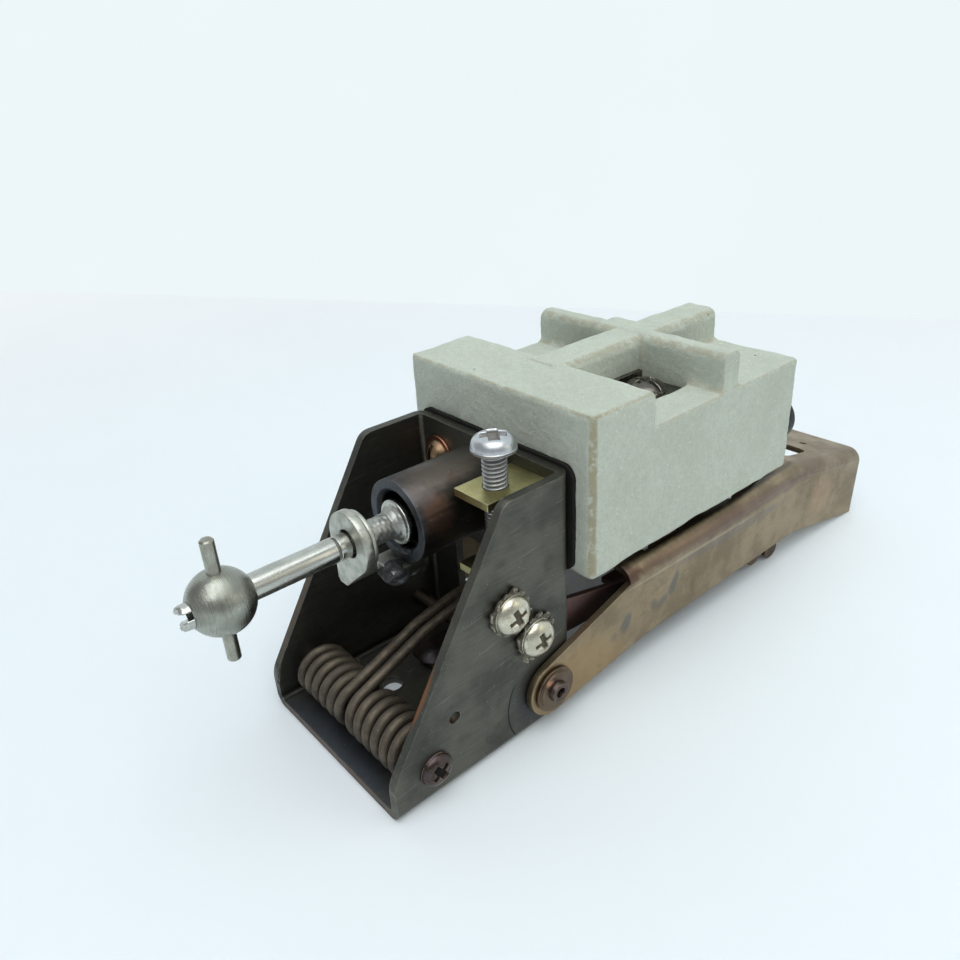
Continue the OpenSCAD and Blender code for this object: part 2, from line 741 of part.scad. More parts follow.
module bracket_rivet() {
  color([0.36, 0.35, 0.34])
  translate([rivet_x, 0, 0]) {
    translate([0, 0, bracket_foot_z]) cylinder(r = 1.15, h = bracket_t + tube_r - tube_bore_r - 0.3);
    translate([0, 0, bracket_foot_z - 1.6])
      intersection() {
        cylinder(r = 2.2, h = 1.6);
        translate([0, 0, dome_r(2.2, 1.6)]) sphere(r = dome_r(2.2, 1.6));
      }
  }
}

module brass_bracket() {
  color([0.66, 0.58, 0.30])
  difference() {
    translate([web_front_x - brass_l, adjuster_y - brass_w / 2, brass_bottom - brass_t])
      cube([brass_l, brass_w, brass_top - brass_bottom + brass_t]);
    translate([web_front_x - brass_l - 1, adjuster_y - brass_w / 2 - 1, brass_bottom])
      cube([brass_l - brass_t + 1, brass_w + 2, brass_top - brass_bottom - brass_t]);
    translate([adjuster_x, adjuster_y, brass_bottom - 3]) cylinder(r = adjuster_r + shaft_gap, h = 22);
    // Relief around the barrel tube
    translate([0, 0, rod_h]) bar_x(tube_x, web_front_x + 1, tube_r + slip_gap);
    translate([0, -front_screw_y, front_screw_z])
      bar_x(web_front_x - 3, web_front_x + 1, front_screw_r + shaft_gap);
  }
}

module spring_arbor() {
  color([0.40, 0.38, 0.35])
  difference() {
    bar_y(arbor_x, arbor_h, -cheek_in_y, cheek_in_y, arbor_r);
    for (side = [-1, 1])
      bar_y(arbor_x, arbor_h, side * cheek_in_y - 6, side * cheek_in_y + 6, arbor_screw_r + 0.02);
  }
}

module arbor_screws() {
  color([0.33, 0.26, 0.21])
  both_sides() {
    bar_y(arbor_x, arbor_h, cheek_in_y - 5.8, cheek_y + 0.1, arbor_screw_r);
    translate([arbor_x, cheek_y, arbor_h]) rotate([-90, 0, 0]) pan_head(arbor_head_r, 1.9, 1);
  }
}

module torsion_spring() {
  color([0.33, 0.29, 0.26])
  swept_tube(spring_path, spring_wire / 2, [0.02, 0.03, 1]);
}

module cheek_screws() {
  color([0.80, 0.79, 0.74])
  for (at = cheek_screws_at)
    translate([at[0], 0, at[1]]) {
      translate([0, -cheek_y - washer_t, 0]) rotate([90, 0, 0]) pan_head(cheek_head_r, 2.5, 1.1);
      rotate([90, 0, 0]) translate([0, 0, cheek_in_y - arm_t - 1.6])
        cylinder(r = cheek_screw_r, h = sheet_t + arm_t + 1.6 + washer_t + 0.2);
    }
}

// Lock washers with outer teeth
washer_t = 0.8;
washer_r = 4.6;
module lock_washers() {
  color([0.62, 0.60, 0.54])
  for (at = cheek_screws_at)
    translate([at[0], -cheek_y, at[1]]) rotate([90, 0, 0])
      difference() {
        union() {
          cylinder(r = washer_r - 0.9, h = washer_t);
          for (tooth = [0 : 30 : 330])
            rotate([0, 0, tooth]) translate([washer_r - 1.5, -0.6, 0]) cube([1.5, 1.2, washer_t]);
        }
        translate([0, 0, -1]) cylinder(r = cheek_screw_r + shaft_gap, h = washer_t + 2);
      }
}

// Strip that limits the lever's downward swing, screwed inside the near cheek
arm_end_x = web_front_edge + 3.4;
arm_end_z = web_top_h - lever_t - 3.8;
module stop_arm() {
  y0 = -cheek_in_y;
  front_hole = cheek_screws_at[0];
  rear_hole = cheek_screws_at[1];
  color([0.36, 0.25, 0.24])
  difference() {
    union() {
      plate_y(y0, y0 + arm_t)
        union() {
          polygon([front_hole + [-4, -4.5], rear_hole + [2.8, -5.2], [web_back_x - 0.6, rear_hole[1] - 6.2],
            [arm_end_x, arm_end_z - 4.6], [arm_end_x + 2.6, arm_end_z - 2.4], [arm_end_x, arm_end_z],
            [web_back_x, arm_end_z + 4.6], rear_hole + [6.4, 4.6], front_hole + [3.6, 4.4],
            front_hole + [-4, 4.4]]);
          translate([arm_end_x, arm_end_z - 2.3]) circle(2.3);
        }
      // Pad under the adjusting screw
      translate([adjuster_x - 4, y0, arm_pad_z - arm_t]) cube([8, adjuster_y + 3 - y0, arm_t]);
      // Pad on which the lever's web comes to rest
      translate([arm_end_x - 3.2, y0, arm_end_z - arm_t]) cube([4.4, 4.6, arm_t]);
    }
    for (at = cheek_screws_at)
      bar_y(at[0], at[1], y0 - 1, y0 + arm_t + 1, cheek_screw_r + shaft_gap);
  }
}

module floor_strap() {
  color([0.34, 0.26, 0.23])
  difference() {
    translate([0, 0, sheet_t]) linear_extrude(strap_t)
      soft_square(strap_x, -strap_w / 2, strap_x + strap_l, strap_w / 2, 1);
    for (side = [-1, 1])
      translate([strap_x + 2.1, side * strap_rivet_y, 0]) cylinder(r = 1.3, h = sheet_t + strap_t + 1);
  }
}

module floor_rivets() {
  color([0.24, 0.20, 0.20])
  for (side = [-1, 1])
    translate([strap_x + 2.1, side * strap_rivet_y, 0]) {
      translate([0, 0, 0.1]) cylinder(r = 1.25, h = sheet_t + strap_t);
      translate([0, 0, sheet_t + strap_t])
        intersection() {
          cylinder(r = 3, h = 1.5);
          translate([0, 0, 1.5 - dome_r(3, 1.5)]) sphere(r = dome_r(3, 1.5));
        }
    }
}

// Through axle with hollow, flared ends
pivot_washer_t = 1;
pivot_washer_r = 4.7;
axle_head_t = 0.9;
axle_bore_r = axle_r - 0.6;
axle_seat_y = lever_y + slip_gap + pivot_washer_t;
module pivot_axle() {
  color([0.40, 0.33, 0.29])
  difference() {
    union() {
      bar_y(pivot_x, pivot_h, -axle_seat_y, axle_seat_y, axle_r);
      both_sides()
        translate([pivot_x, axle_seat_y, pivot_h]) rotate([-90, 0, 0])
          cylinder(r1 = axle_r + 0.5, r2 = axle_r + 0.2, h = axle_head_t);
    }
    for (end_y = [-axle_seat_y - axle_head_t, axle_seat_y + axle_head_t])
      bar_y(pivot_x, pivot_h, end_y - 3, end_y + 3, axle_bore_r);
  }
}

module pivot_washers() {
  color([0.44, 0.34, 0.29])
  both_sides()
    difference() {
      union() {
        bar_y(pivot_x, pivot_h, lever_y + slip_gap, lever_y + slip_gap + pivot_washer_t * 0.6, pivot_washer_r);
        bar_y(pivot_x, pivot_h, lever_y + slip_gap, axle_seat_y, pivot_washer_r - 0.7);
      }
      bar_y(pivot_x, pivot_h, lever_y - 1, axle_seat_y + 1, axle_r + shaft_gap);
    }
}

// Channel section of the lever: open below, its top at v = 0, its walls thinned by inset a side
module channel_section(inset) {
  out_y = lever_y - inset;
  in_y = lever_in_y + inset;
  depth = flange_depth - inset;
  difference() {
    union() {
      translate([0, -inset]) soft_square(-out_y, -depth, out_y, 0, lever_bend_r);
      translate([-out_y, -depth]) square([2 * out_y, depth / 2]);
    }
    union() {
      soft_square(-in_y, -depth - 4, in_y, inset - lever_t, lever_bend_r - lever_t);
      translate([-in_y, -depth - 5]) square([2 * in_y, depth / 2]);
    }
  }
}

// Side outline of an arm from the pivot to the front edge of the web
module arm_outline() {
  pivot = [pivot_x, pivot_h];
  top_at = pivot + lever_end_r * [-sin(arm_rise), cos(arm_rise)];
  low_at = pivot + lever_end_r * [sin(8), -cos(8)];
  edge_z = top_at[1] + (web_front_edge - top_at[0]) * tan(arm_rise);
  flat_z = web_top_h - lever_bend_r - 0.5;
  translate(pivot) circle(lever_end_r);
  polygon([top_at, [web_front_edge, edge_z], [web_front_edge, flat_z], [web_front_edge + 5, flat_z],
    [web_front_edge + 5, flange_bottom], low_at]);
}

// Frame of the lever's sloped part: its origin lies where the two tops meet
module on_slope() translate([bend_x, 0, web_top_h]) rotate([0, heel_slope, 0]) children();

// Place of the mitre between the two parts of the lever at height z, moved forward by lap
function mitre_x(z, lap) = bend_x - lap - (web_top_h - z) * tan(heel_slope / 2);

module lever() {
  color([0.47, 0.39, 0.28])
  difference() {
    union() {
      // Level front part of the channel
      intersection() {
        along_x(web_front_edge) translate([0, web_top_h]) linear_extrude(lever_front_l + 2) channel_section(0);
        plate_y(-lever_y - 1, lever_y + 1)
          polygon([[web_front_edge - 1, -1], [mitre_x(-1, 0), -1], [mitre_x(web_top_h + 1, 0), web_top_h + 1],
            [web_front_edge - 1, web_top_h + 1]]);
      }
      // Sloped rear part
      intersection() {
        on_slope() along_x(-6) linear_extrude(heel_l + 6) channel_section(mitre_inset);
        plate_y(-lever_y - 1, lever_y + 1)
          polygon([[mitre_x(0, mitre_lap), 0], [heel_bottom_x, 0], [heel_bottom_x + 1.4, web_top_h + 1],
            [mitre_x(web_top_h + 1, mitre_lap), web_top_h + 1]]);
      }
      both_sides() plate_y(lever_in_y, lever_y) arm_outline();
    }
    bar_y(pivot_x, pivot_h, -lever_y - 1, lever_y + 1, axle_r + shaft_gap);
    for (side = [-1, 1]) {
      // Slots in the web for the knife blades
      for (k = [0, 1])
        translate([blade_x[k] - 3.2, side * blade_y - blade_t / 2 - blade_gap, web_top_h - lever_t - 1])
          cube([blade_l + 4.4, blade_t + 2 * blade_gap, lever_t + 2]);
      // Openings in the sloped web
      on_slope() translate([3, side * 12.6 - 4, -5]) linear_extrude(10) soft_square(0, 0, 11.4, 8, 2.4);
      // Pierced holes near the heel
      on_slope() translate([20.4, side * 12, -4]) cylinder(r = 1, h = 8);
      // Holes for the hanger screws
      translate([hanger_x, side * hanger_y, web_top_h - 5]) cylinder(r = hanger_screw_r + shaft_gap, h = 10);
    }
  }
}

// Bar that bridges the front and rear jaw of one pole, cranked between them
bar_in_y = blade_y - bar_t / 2;
bar_out_y = blade_y + bar_t / 2;
front_rivet_z = bar_front_z + bar_h / 2;
rear_rivet_z = bar_bottom + bar_h / 2;
rivets_at = [[front_jaw_x - 2.4, front_rivet_z], [front_jaw_x + 2.4, front_rivet_z],
  [jaw_toe_x + toe_l / 2, rear_rivet_z], [jaw_toe_x + toe_l * 1.5 + toe_slit, rear_rivet_z]];
module contact_bars() {
  crank_x = front_jaw_x + front_jaw_l / 2;
  color([0.62, 0.38, 0.26])
  both_sides()
    plate_y(bar_in_y, bar_out_y)
      difference() {
        union() {
          soft_square(front_jaw_x - front_jaw_l / 2, bar_front_z, crank_x, bar_front_z + bar_h, 1);
          polygon([[crank_x - 2, bar_front_z], [crank_x + 4, bar_bottom], [jaw_toe_x + 4, bar_bottom],
            [jaw_toe_x + 4, bar_bottom + bar_h], [crank_x + 4, bar_bottom + bar_h],
            [crank_x - 2, bar_front_z + bar_h]]);
          soft_square(jaw_toe_x, bar_bottom, rear_jaw_end - 0.6, bar_bottom + bar_h, 1);
        }
        for (at = rivets_at) translate(at) circle(rivet_r + press_gap);
      }
}

// Leaves that grip the blades: a plain pair in front, a pair with two toes behind
module front_leaf_outline() {
  soft_square(front_jaw_x - front_jaw_l / 2, bar_front_z - 0.8, front_jaw_x + front_jaw_l / 2, mouth_z, 1.4);
}
module rear_leaf_outline() {
  for (toe = [0, 1])
    translate([jaw_toe_x + toe * (toe_l + toe_slit), 0])
      soft_square(0, 0.4 + 1.4 * (1 - toe), toe_l, bar_bottom + bar_h + 3, 2.2);
  soft_square(rear_jaw_x, bar_bottom + bar_h + 0.8, rear_jaw_end, mouth_z, 1.2);
}

module jaw_leaves() {
  color([0.42, 0.34, 0.22])
  both_sides()
    for (y0 = [bar_in_y - leaf_t, bar_out_y])
      difference() {
        plate_y(y0, y0 + leaf_t) {
          front_leaf_outline();
          rear_leaf_outline();
        }
        for (at = rivets_at) bar_y(at[0], at[1], y0 - 1, y0 + leaf_t + 1, rivet_r + press_gap);
      }
}

module jaw_rivets() {
  seat_in = bar_in_y - leaf_t;
  seat_out = bar_out_y + leaf_t;
  color([0.55, 0.36, 0.26])
  both_sides()
    for (at = rivets_at) {
      bar_y(at[0], at[1], seat_in - 0.1, seat_out + 0.1, rivet_r);
      bar_y(at[0], at[1], seat_in - rivet_head_h - 0.2, seat_in, rivet_head_r);
      bar_y(at[0], at[1], seat_out, seat_out + rivet_head_h, rivet_head_r);
    }
}

// Insulating block that hangs a contact bar from the lever's web
hanger_out_y = bar_out_y + 1;
hanger_in_y = hanger_out_y - hanger_w;
web_under_z = web_top_h - lever_t;
module hanger_blocks() {
  color([0.20, 0.13, 0.09])
  both_sides()
    difference() {
      // Its upper outer edge is bevelled to clear the lever's inner bend
      along_x(hanger_x - hanger_l / 2) linear_extrude(hanger_l)
        polygon([[hanger_in_y, bar_bottom - hanger_wrap], [hanger_out_y, bar_bottom - hanger_wrap],
          [hanger_out_y, web_under_z - lever_bend_r], [hanger_out_y - lever_bend_r / 2, web_under_z],
          [hanger_in_y, web_under_z]]);
      translate([hanger_x - hanger_l / 2 - 1, bar_in_y, bar_bottom])
        cube([hanger_l + 2, bar_t, bar_h]);
      translate([hanger_x, hanger_y, web_top_h - 9.5]) cylinder(r = hanger_screw_r + press_gap, h = 10);
    }
}

module hanger_screws() {
  color([0.50, 0.42, 0.30])
  both_sides()
    translate([hanger_x, hanger_y, web_top_h]) {
      translate([0, 0, -9]) cylinder(r = hanger_screw_r, h = 9.1);
      pan_head(2.4, 1.7, 0.7);
    }
}

// Adjusting rod with its slotted tip, shoulder, flange disc and plain tail
module adjusting_rod() {
  color([0.62, 0.61, 0.58])
  translate([0, 0, rod_h])
    difference() {
      union() {
        bar_x(rod_tip_x, ball_x, rod_r - 0.1);
        bar_x(ball_x, rod_shoulder_x - 2.6, rod_r);
        bar_x(rod_shoulder_x - 2.7, rod_shoulder_x - 2.3, rod_r - 0.35);
        bar_x(rod_shoulder_x - 2.4, rod_shoulder_x, rod_r);
        bar_x(rod_shoulder_x - 0.1, rod_end_x, rod_rear_r);
        // Rough stretch behind the clip, and its flare in front of the disc
        bar_x(tube_x - 7.4, tube_x - 2.1, rod_rough_r);
        translate([tube_x - 2.2, 0, 0]) rotate([0, 90, 0])
          cylinder(r1 = rod_rough_r, r2 = 3.6, h = 1.8);
        bar_x(tube_x - 0.5, tube_x - 0.5 + disc_t, disc_r);
      }
      // Slot in the tip
      translate([rod_tip_x - 1, -rod_r - 1, -tip_slot_w / 2]) cube([3.4, 2 * rod_r + 2, tip_slot_w]);
      // Hole for the cross pin
      translate([ball_x, 0, -ball_r]) cylinder(r = pin_r + 0.02, h = 2 * ball_r);
    }
}

module ball_knob() {
  color([0.58, 0.57, 0.54])
  translate([ball_x, 0, rod_h])
    difference() {
      intersection() {
        sphere(r = ball_r, $fn = 96);
        bar_x(-ball_r + 0.35, ball_r - 0.2, ball_r + 1);
      }
      bar_x(-ball_r - 1, 0.01, rod_r - 0.1 + 0.02);
      bar_x(0, ball_r + 1, rod_r + 0.02);
      translate([0, 0, -ball_r - 1]) cylinder(r = pin_r + 0.02, h = 2 * ball_r + 2);
    }
}

module cross_pin() {
  color([0.58, 0.56, 0.51])
  translate([ball_x, 0, rod_h - pin_l / 2]) {
    translate([0, 0, 0.3]) cylinder(r = pin_r, h = pin_l - 0.6);
    translate([0, 0, pin_l - 0.3]) cylinder(r1 = pin_r, r2 = pin_r - 0.3, h = 0.3);
    cylinder(r1 = pin_r - 0.3, r2 = pin_r, h = 0.3);
  }
}

// Thin retaining clip behind the steady bracket
module rod_clip() {
  x0 = bracket_x + bracket_t + slip_gap;
  color([0.60, 0.59, 0.54])
  translate([0, 0, rod_h])
    difference() {
      bar_x(x0, x0 + clip_t, clip_r);
      bar_x(x0 - 1, x0 + clip_t + 1, rod_rear_r + 0.02);
    }
}

module spring_follower() {
  color([0.52, 0.49, 0.44])
  translate([0, 0, rod_h])
    difference() {
      bar_x(follower_x, follower_x + follower_l, tube_bore_r - slip_gap);
      bar_x(follower_x - 1, follower_x + follower_l + 1, rod_rear_r + 0.07);
    }
}

module barrel_spring() {
  color([0.45, 0.44, 0.42])
  swept_tube(barrel_path, barrel_wire / 2, [1, 0.02, 0.03]);
}

module adjusting_screw() {
  tip_z = arm_pad_z + face_gap;
  color([0.74, 0.75, 0.75])
  translate([adjuster_x, adjuster_y, 0]) {
    translate([0, 0, tip_z + 0.5]) cylinder(r = adjuster_r, h = adjuster_head_h - tip_z - 0.4);
    translate([0, 0, tip_z]) cylinder(r1 = adjuster_r - 0.6, r2 = adjuster_r, h = 0.5);
    translate([0, 0, adjuster_head_h]) pan_head(adjuster_head_r, adjuster_head_t, 1.2);
  }
}

frame();
insulating_sheet();
ceramic_block();
terminal_plates();
terminal_screws();
terminal_nuts();
knife_blades();
front_screws();
copper_washers();
rear_caps();
barrel_tube();
steady_bracket();
bracket_rivet();
brass_bracket();
spring_arbor();
arbor_screws();
torsion_spring();
cheek_screws();
lock_washers();
stop_arm();
floor_strap();
floor_rivets();
pivot_axle();
pivot_washers();
lever();
contact_bars();
jaw_leaves();
jaw_rivets();
hanger_blocks();
hanger_screws();
adjusting_rod();
ball_knob();
cross_pin();
rod_clip();
spring_follower();
barrel_spring();
adjusting_screw();
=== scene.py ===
import math

import bpy
import numpy as np
from mathutils import Matrix, Vector


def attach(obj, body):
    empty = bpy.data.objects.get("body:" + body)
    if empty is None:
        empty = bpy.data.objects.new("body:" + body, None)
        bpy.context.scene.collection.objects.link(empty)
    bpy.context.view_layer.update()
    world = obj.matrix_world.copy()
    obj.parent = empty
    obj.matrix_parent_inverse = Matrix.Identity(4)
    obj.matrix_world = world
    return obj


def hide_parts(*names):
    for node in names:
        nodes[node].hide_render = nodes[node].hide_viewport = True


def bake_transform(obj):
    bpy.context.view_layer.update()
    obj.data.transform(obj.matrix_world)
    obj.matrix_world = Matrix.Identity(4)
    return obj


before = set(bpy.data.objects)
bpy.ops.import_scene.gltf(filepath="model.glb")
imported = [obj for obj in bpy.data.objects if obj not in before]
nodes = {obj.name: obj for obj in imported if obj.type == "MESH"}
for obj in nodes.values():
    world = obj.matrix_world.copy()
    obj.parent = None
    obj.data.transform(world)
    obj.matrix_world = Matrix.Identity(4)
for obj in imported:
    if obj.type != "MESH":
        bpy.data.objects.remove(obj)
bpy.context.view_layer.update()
mm = 0.001
weldReach = 2e-6  # metres; corners nearer than this are one corner
anyPhase = 6.28  # radians; random phases lie between 0 and this
print("stage: frame loaded,", len(nodes), "nodes")


# Makes an object of a mesh, a lamp or a camera and puts it in the scene
def addObject(name, data):
    item = bpy.data.objects.new(name, data)
    bpy.context.scene.collection.objects.link(item)
    return item


# Meshes. Points are in millimetres in the part's own frame.

# Numbers the quads of a grid of points, where point (i, j) is i * columns + j; wrapping joins the last row
# or column to the first
def gridFaces(rows, columns, wrapRows=False, wrapColumns=True):
    i, j = np.meshgrid(np.arange(rows if wrapRows else rows - 1),
                       np.arange(columns if wrapColumns else columns - 1), indexing="ij")
    nextRow, nextColumn = (i + 1) % rows, (j + 1) % columns
    corners = [i * columns + j, i * columns + nextColumn,
               nextRow * columns + nextColumn, nextRow * columns + j]
    return np.stack([c.ravel() for c in corners], 1)


# Triangles from one ring of points to a single point
def fanFaces(ring, centre, flip=False):
    following = np.roll(ring, -1)
    first, second = (following, ring) if flip else (ring, following)
    return np.stack([first, second, np.full(len(ring), centre)], 1)


# Faces of a row of closed rings, whose two ends are closed by fans to the two points that follow the rings
def cappedFaces(rings, steps):
    first, last, after = np.arange(steps), np.arange(steps) + (rings - 1) * steps, rings * steps
    return [gridFaces(rings, steps), fanFaces(first, after, flip=True), fanFaces(last, after + 1)]


# Makes one object at the origin from closed shells of (points, faces, darkening). Six times a shell's volume
# is the sum of a . (b x c) over its triangles; where that is negative, its faces are turned round. A point
# attribute says how much each point is darkened: grime, and painted shade in hollows
def joinShells(name, shells):
    points, faces, grimeShade, start = [], [], [], 0
    for shellPoints, shellFaces, *shellGrimeShade in shells:
        volume = 0.0
        for group in shellFaces:
            for k in range(1, group.shape[1] - 1):
                a, b, c = (shellPoints[group[:, corner]] for corner in (0, k, k + 1))
                volume += np.einsum("ij,ij->i", a, np.cross(b, c)).sum()
        for group in shellFaces:
            faces += ((group[:, ::-1] if volume < 0 else group) + start).tolist()
        points.append(shellPoints)
        grimeShade.append(np.ravel(shellGrimeShade[0]) if shellGrimeShade else np.zeros(len(shellPoints)))
        start += len(shellPoints)
    mesh = bpy.data.meshes.new(name)
    mesh.from_pydata((np.concatenate(points) * mm).tolist(), [], faces)
    mesh.attributes.new("grimeShade", "FLOAT", "POINT").data.foreach_set("value", np.concatenate(grimeShade))
    mesh.validate()
    mesh.polygons.foreach_set("use_smooth", np.ones(len(mesh.polygons), bool))
    return addObject(name, mesh)


# Equal angles round a circle, in radians
def ringAngles(steps):
    return np.arange(steps) * 2 * math.pi / steps


# The axis at length 1, a direction square to it, and their cross product
def acrossAxis(axis):
    axis = np.asarray(axis, float) / np.linalg.norm(axis)
    helper = np.array([0.0, 0.0, 1.0]) if abs(axis[2]) < 0.9 else np.array([1.0, 0.0, 0.0])
    first = np.cross(helper, axis)
    first /= np.linalg.norm(first)
    return axis, first, np.cross(axis, first)


# A profile of (along, radius) turned about an axis:
# origin + along * axis + (radius + change(along, angle)) * (first * cos(angle) + second * sin(angle))
def turned(profile, origin, axis, steps, change=None, closed=False):
    profile, origin = np.asarray(profile, float), np.asarray(origin, float)
    axis, first, second = acrossAxis(axis)
    angle = ringAngles(steps)
    along, radius = profile[:, 0][:, None], profile[:, 1][:, None] * np.ones(steps)
    if change is not None:
        radius = np.maximum(radius + change(along, angle[None, :]) * (radius > 0), 0)
    ring = np.cos(angle)[None, :, None] * first + np.sin(angle)[None, :, None] * second
    points = (origin + along[..., None] * axis + radius[..., None] * ring).reshape(-1, 3)
    if closed:
        return points, [gridFaces(len(profile), steps, wrapRows=True)]
    ends = origin + np.outer(profile[[0, -1], 0], axis)
    return np.concatenate([points, ends]), cappedFaces(len(profile), steps)


wireEnd = dict(shoulder=0.15, narrow=0.82)  # shares of the wire's radius


# Wire along a path: point + radius * (side * cos(angle) + other * sin(angle)). Each ring's side is the last
# one's less its share along the new heading, so the rings don't twist. The two end rings are drawn in
def wireAlong(path, radius, sides):
    tips = path[[0, -1]]
    outward = tips - path[[1, -2]]
    outward /= np.linalg.norm(outward, axis=1)[:, None]
    shoulders = tips - outward * wireEnd["shoulder"] * radius
    path = np.concatenate([tips[:1], shoulders[:1], path[1:-1], shoulders[1:], tips[1:]])
    size = np.full(len(path), radius)
    size[[0, -1]] = radius * wireEnd["narrow"]
    heading = np.gradient(path, axis=0)
    heading /= np.linalg.norm(heading, axis=1)[:, None]
    side = np.empty_like(path)
    side[0] = acrossAxis(heading[0])[1]
    for i in range(1, len(path)):  # one step along the path at a time, never over the mesh's points
        level = side[i - 1] - heading[i] * (side[i - 1] @ heading[i])
        side[i] = level / np.linalg.norm(level)
    other = np.cross(heading, side)
    angle = ringAngles(sides)[None, :, None]
    ring = np.cos(angle) * side[:, None, :] + np.sin(angle) * other[:, None, :]
    points = (path[:, None, :] + size[:, None, None] * ring).reshape(-1, 3)
    return np.concatenate([points, tips]), cappedFaces(len(path), sides)


# Smooth step from 0 at low to 1 at high: t * t * (3 - 2 t)
def easeBetween(value, low, high):
    t = np.clip((value - low) / (high - low), 0, 1)
    return t * t * (3 - 2 * t)


# What all screw heads share, in shares of their radius or height: the width of a drive's walls, the rim's
# height, the least floor as a share of the rim, the rise of the floor outward, how far out the grid stays
# square and where it is round, its lines, and the depths in millimetres between which the recess darkens,
# grime with painted shade in it
drive = dict(wall=0.035, rim=0.14, leastFloor=0.8, floorRise=0.6, squareTo=0.62, roundFrom=0.95, lines=45,
             linesTo=0.88, rimLines=(0.91, 0.94, 0.96, 0.975, 0.987, 0.996, 1.0), grimeShadeDepths=(0.1, 0.35))


# Screw head with a sunk drive: a square grid whose outer part is eased onto a disc of radius 1. Its height
# is rim + (1 - rim) * (1 - far^crown)^0.5 of the head's height, less the depth of the drive: a cross whose
# floor rises towards the ends of its arms, and perhaps a slot right across
def screwHead(origin, axis, head, spin):
    origin, wall, rim = np.array(origin, float), drive["wall"], drive["rim"]
    arm, reach = head["armWidth"] / 2 / head["radius"], head["armReach"]
    half = head.get("slotWidth", 0.0) / 2 / head["radius"]
    edges = [arm * 0.5, arm, arm + wall, reach, reach + wall, *drive["rimLines"]]
    if half:
        edges += [half, half + wall]
    lines = set(np.linspace(-drive["linesTo"], drive["linesTo"], drive["lines"]).round(5))
    lines = np.array(sorted(lines | {round(side * edge, 5) for side in (-1, 1) for edge in edges}))
    u, v = np.meshgrid(lines, lines, indexing="ij")
    square, far = np.maximum(np.abs(u), np.abs(v)), np.hypot(u, v) + 1e-9
    turnIn = easeBetween(square, drive["squareTo"], drive["roundFrom"])
    px, py = (w * (1 - turnIn) + w / far * square * turnIn for w in (u, v))
    rho = np.hypot(px, py).clip(0, 1)
    dome = rim + (1 - rim) * np.sqrt(np.clip(1 - rho ** head["crown"], 0, 1))
    armX = easeBetween(np.abs(py), arm + wall, arm) * easeBetween(np.abs(px), reach + wall, reach)
    armY = easeBetween(np.abs(px), arm + wall, arm) * easeBetween(np.abs(py), reach + wall, reach)
    depth = np.maximum(armX, armY) * (1 - drive["floorRise"] * np.clip(rho / reach, 0, 1)) * head["sunk"]
    if half:
        depth = np.maximum(depth, easeBetween(np.abs(py), half + wall, half) * head["slotDepth"])
    top = np.maximum(head["height"] * dome - depth, head["height"] * rim * drive["leastFloor"])
    axis, first, second = acrossAxis(axis)
    cosine, sine, radius = math.cos(spin), math.sin(spin), head["radius"]
    gx, gy = (px * cosine - py * sine) * radius, (px * sine + py * cosine) * radius
    points = origin + gx[..., None] * first + gy[..., None] * second + top[..., None] * axis
    points, n = points.reshape(-1, 3), len(lines)
    index = np.arange(n * n).reshape(n, n)
    border = np.concatenate([index[:-1, 0], index[-1, :-1], index[:0:-1, -1], index[0, :0:-1]])
    low = points[border] - axis * top.reshape(-1)[border][:, None]
    base = np.arange(len(border)) + n * n
    skirt = np.stack([border, np.roll(border, -1), np.roll(base, -1), base], 1)
    faces = [gridFaces(n, n, wrapColumns=False), skirt[:, ::-1], fanFaces(base, n * n + len(border))]
    # The drive's recess darkens with depth: grime, and painted shade in the recess
    grimeShade = np.concatenate([easeBetween(depth, *drive["grimeShadeDepths"]).ravel(), np.ones(len(border) + 1)])
    return np.concatenate([points, low, [origin]]), faces, grimeShade


# Materials. Patterns are drawn on Object coordinates turned into millimetres.

# A new material with an empty node tree
def emptyMaterial(name):
    material = bpy.data.materials.new(name)
    material.use_nodes = True
    material.node_tree.nodes.clear()
    return material


# Adds a node with its settings, and gives each named input a value or another node's output
def put(tree, kind, inputs=None, **settings):
    node = tree.nodes.new(kind)
    for key, value in settings.items():
        setattr(node, key, value)
    for key, value in (inputs or {}).items():
        socket = node.inputs[key]
        if isinstance(value, bpy.types.NodeSocket):
            tree.links.new(value, socket)
        else:
            socket.default_value = value
    return node


# One operation on one or two numbers or outputs, such as first + second
def maths(tree, kind, first, second=0.0):
    return put(tree, "ShaderNodeMath", {0: first, 1: second}, operation=kind).outputs[0]


# first + second
def plus(tree, first, second):
    return maths(tree, "ADD", first, second)


# first * second
def times(tree, first, second):
    return maths(tree, "MULTIPLY", first, second)


# How far a pattern swings either way: (pattern - 0.5) * amount
def swing(tree, pattern, amount):
    return times(tree, maths(tree, "SUBTRACT", pattern, 0.5), amount)


# Smooth step from 0 at low to 1 at high: t * t * (3 - 2 t)
def between(tree, value, low, high):
    return put(tree, "ShaderNodeMapRange", {"Value": value, "From Min": low, "From Max": high},
               interpolation_type="SMOOTHSTEP").outputs[0]


# first * (1 - share) + second * share, or with MULTIPLY the same with first * second in place of second
def blended(tree, share, first, second, kind="MIX"):
    first, second = (c if isinstance(c, bpy.types.NodeSocket) else (*c, 1.0) for c in (first, second))
    return put(tree, "ShaderNodeMix", {0: share, 6: first, 7: second}, data_type="RGBA",
               blend_type=kind).outputs[2]


# colour * (1 + share), alike in red, green and blue
def lightened(tree, colour, share):
    level = plus(tree, 1.0, share)
    grey = put(tree, "ShaderNodeCombineColor", {0: level, 1: level, 2: level}).outputs[0]
    return blended(tree, 1.0, colour, grey, "MULTIPLY")


# The place in millimetres: Object coordinates, which are metres, times 1000
def placeOf(tree):
    coordinates = put(tree, "ShaderNodeTexCoord").outputs["Object"]
    return put(tree, "ShaderNodeVectorMath", {0: coordinates, "Scale": 1 / mm}, operation="SCALE").outputs[0]


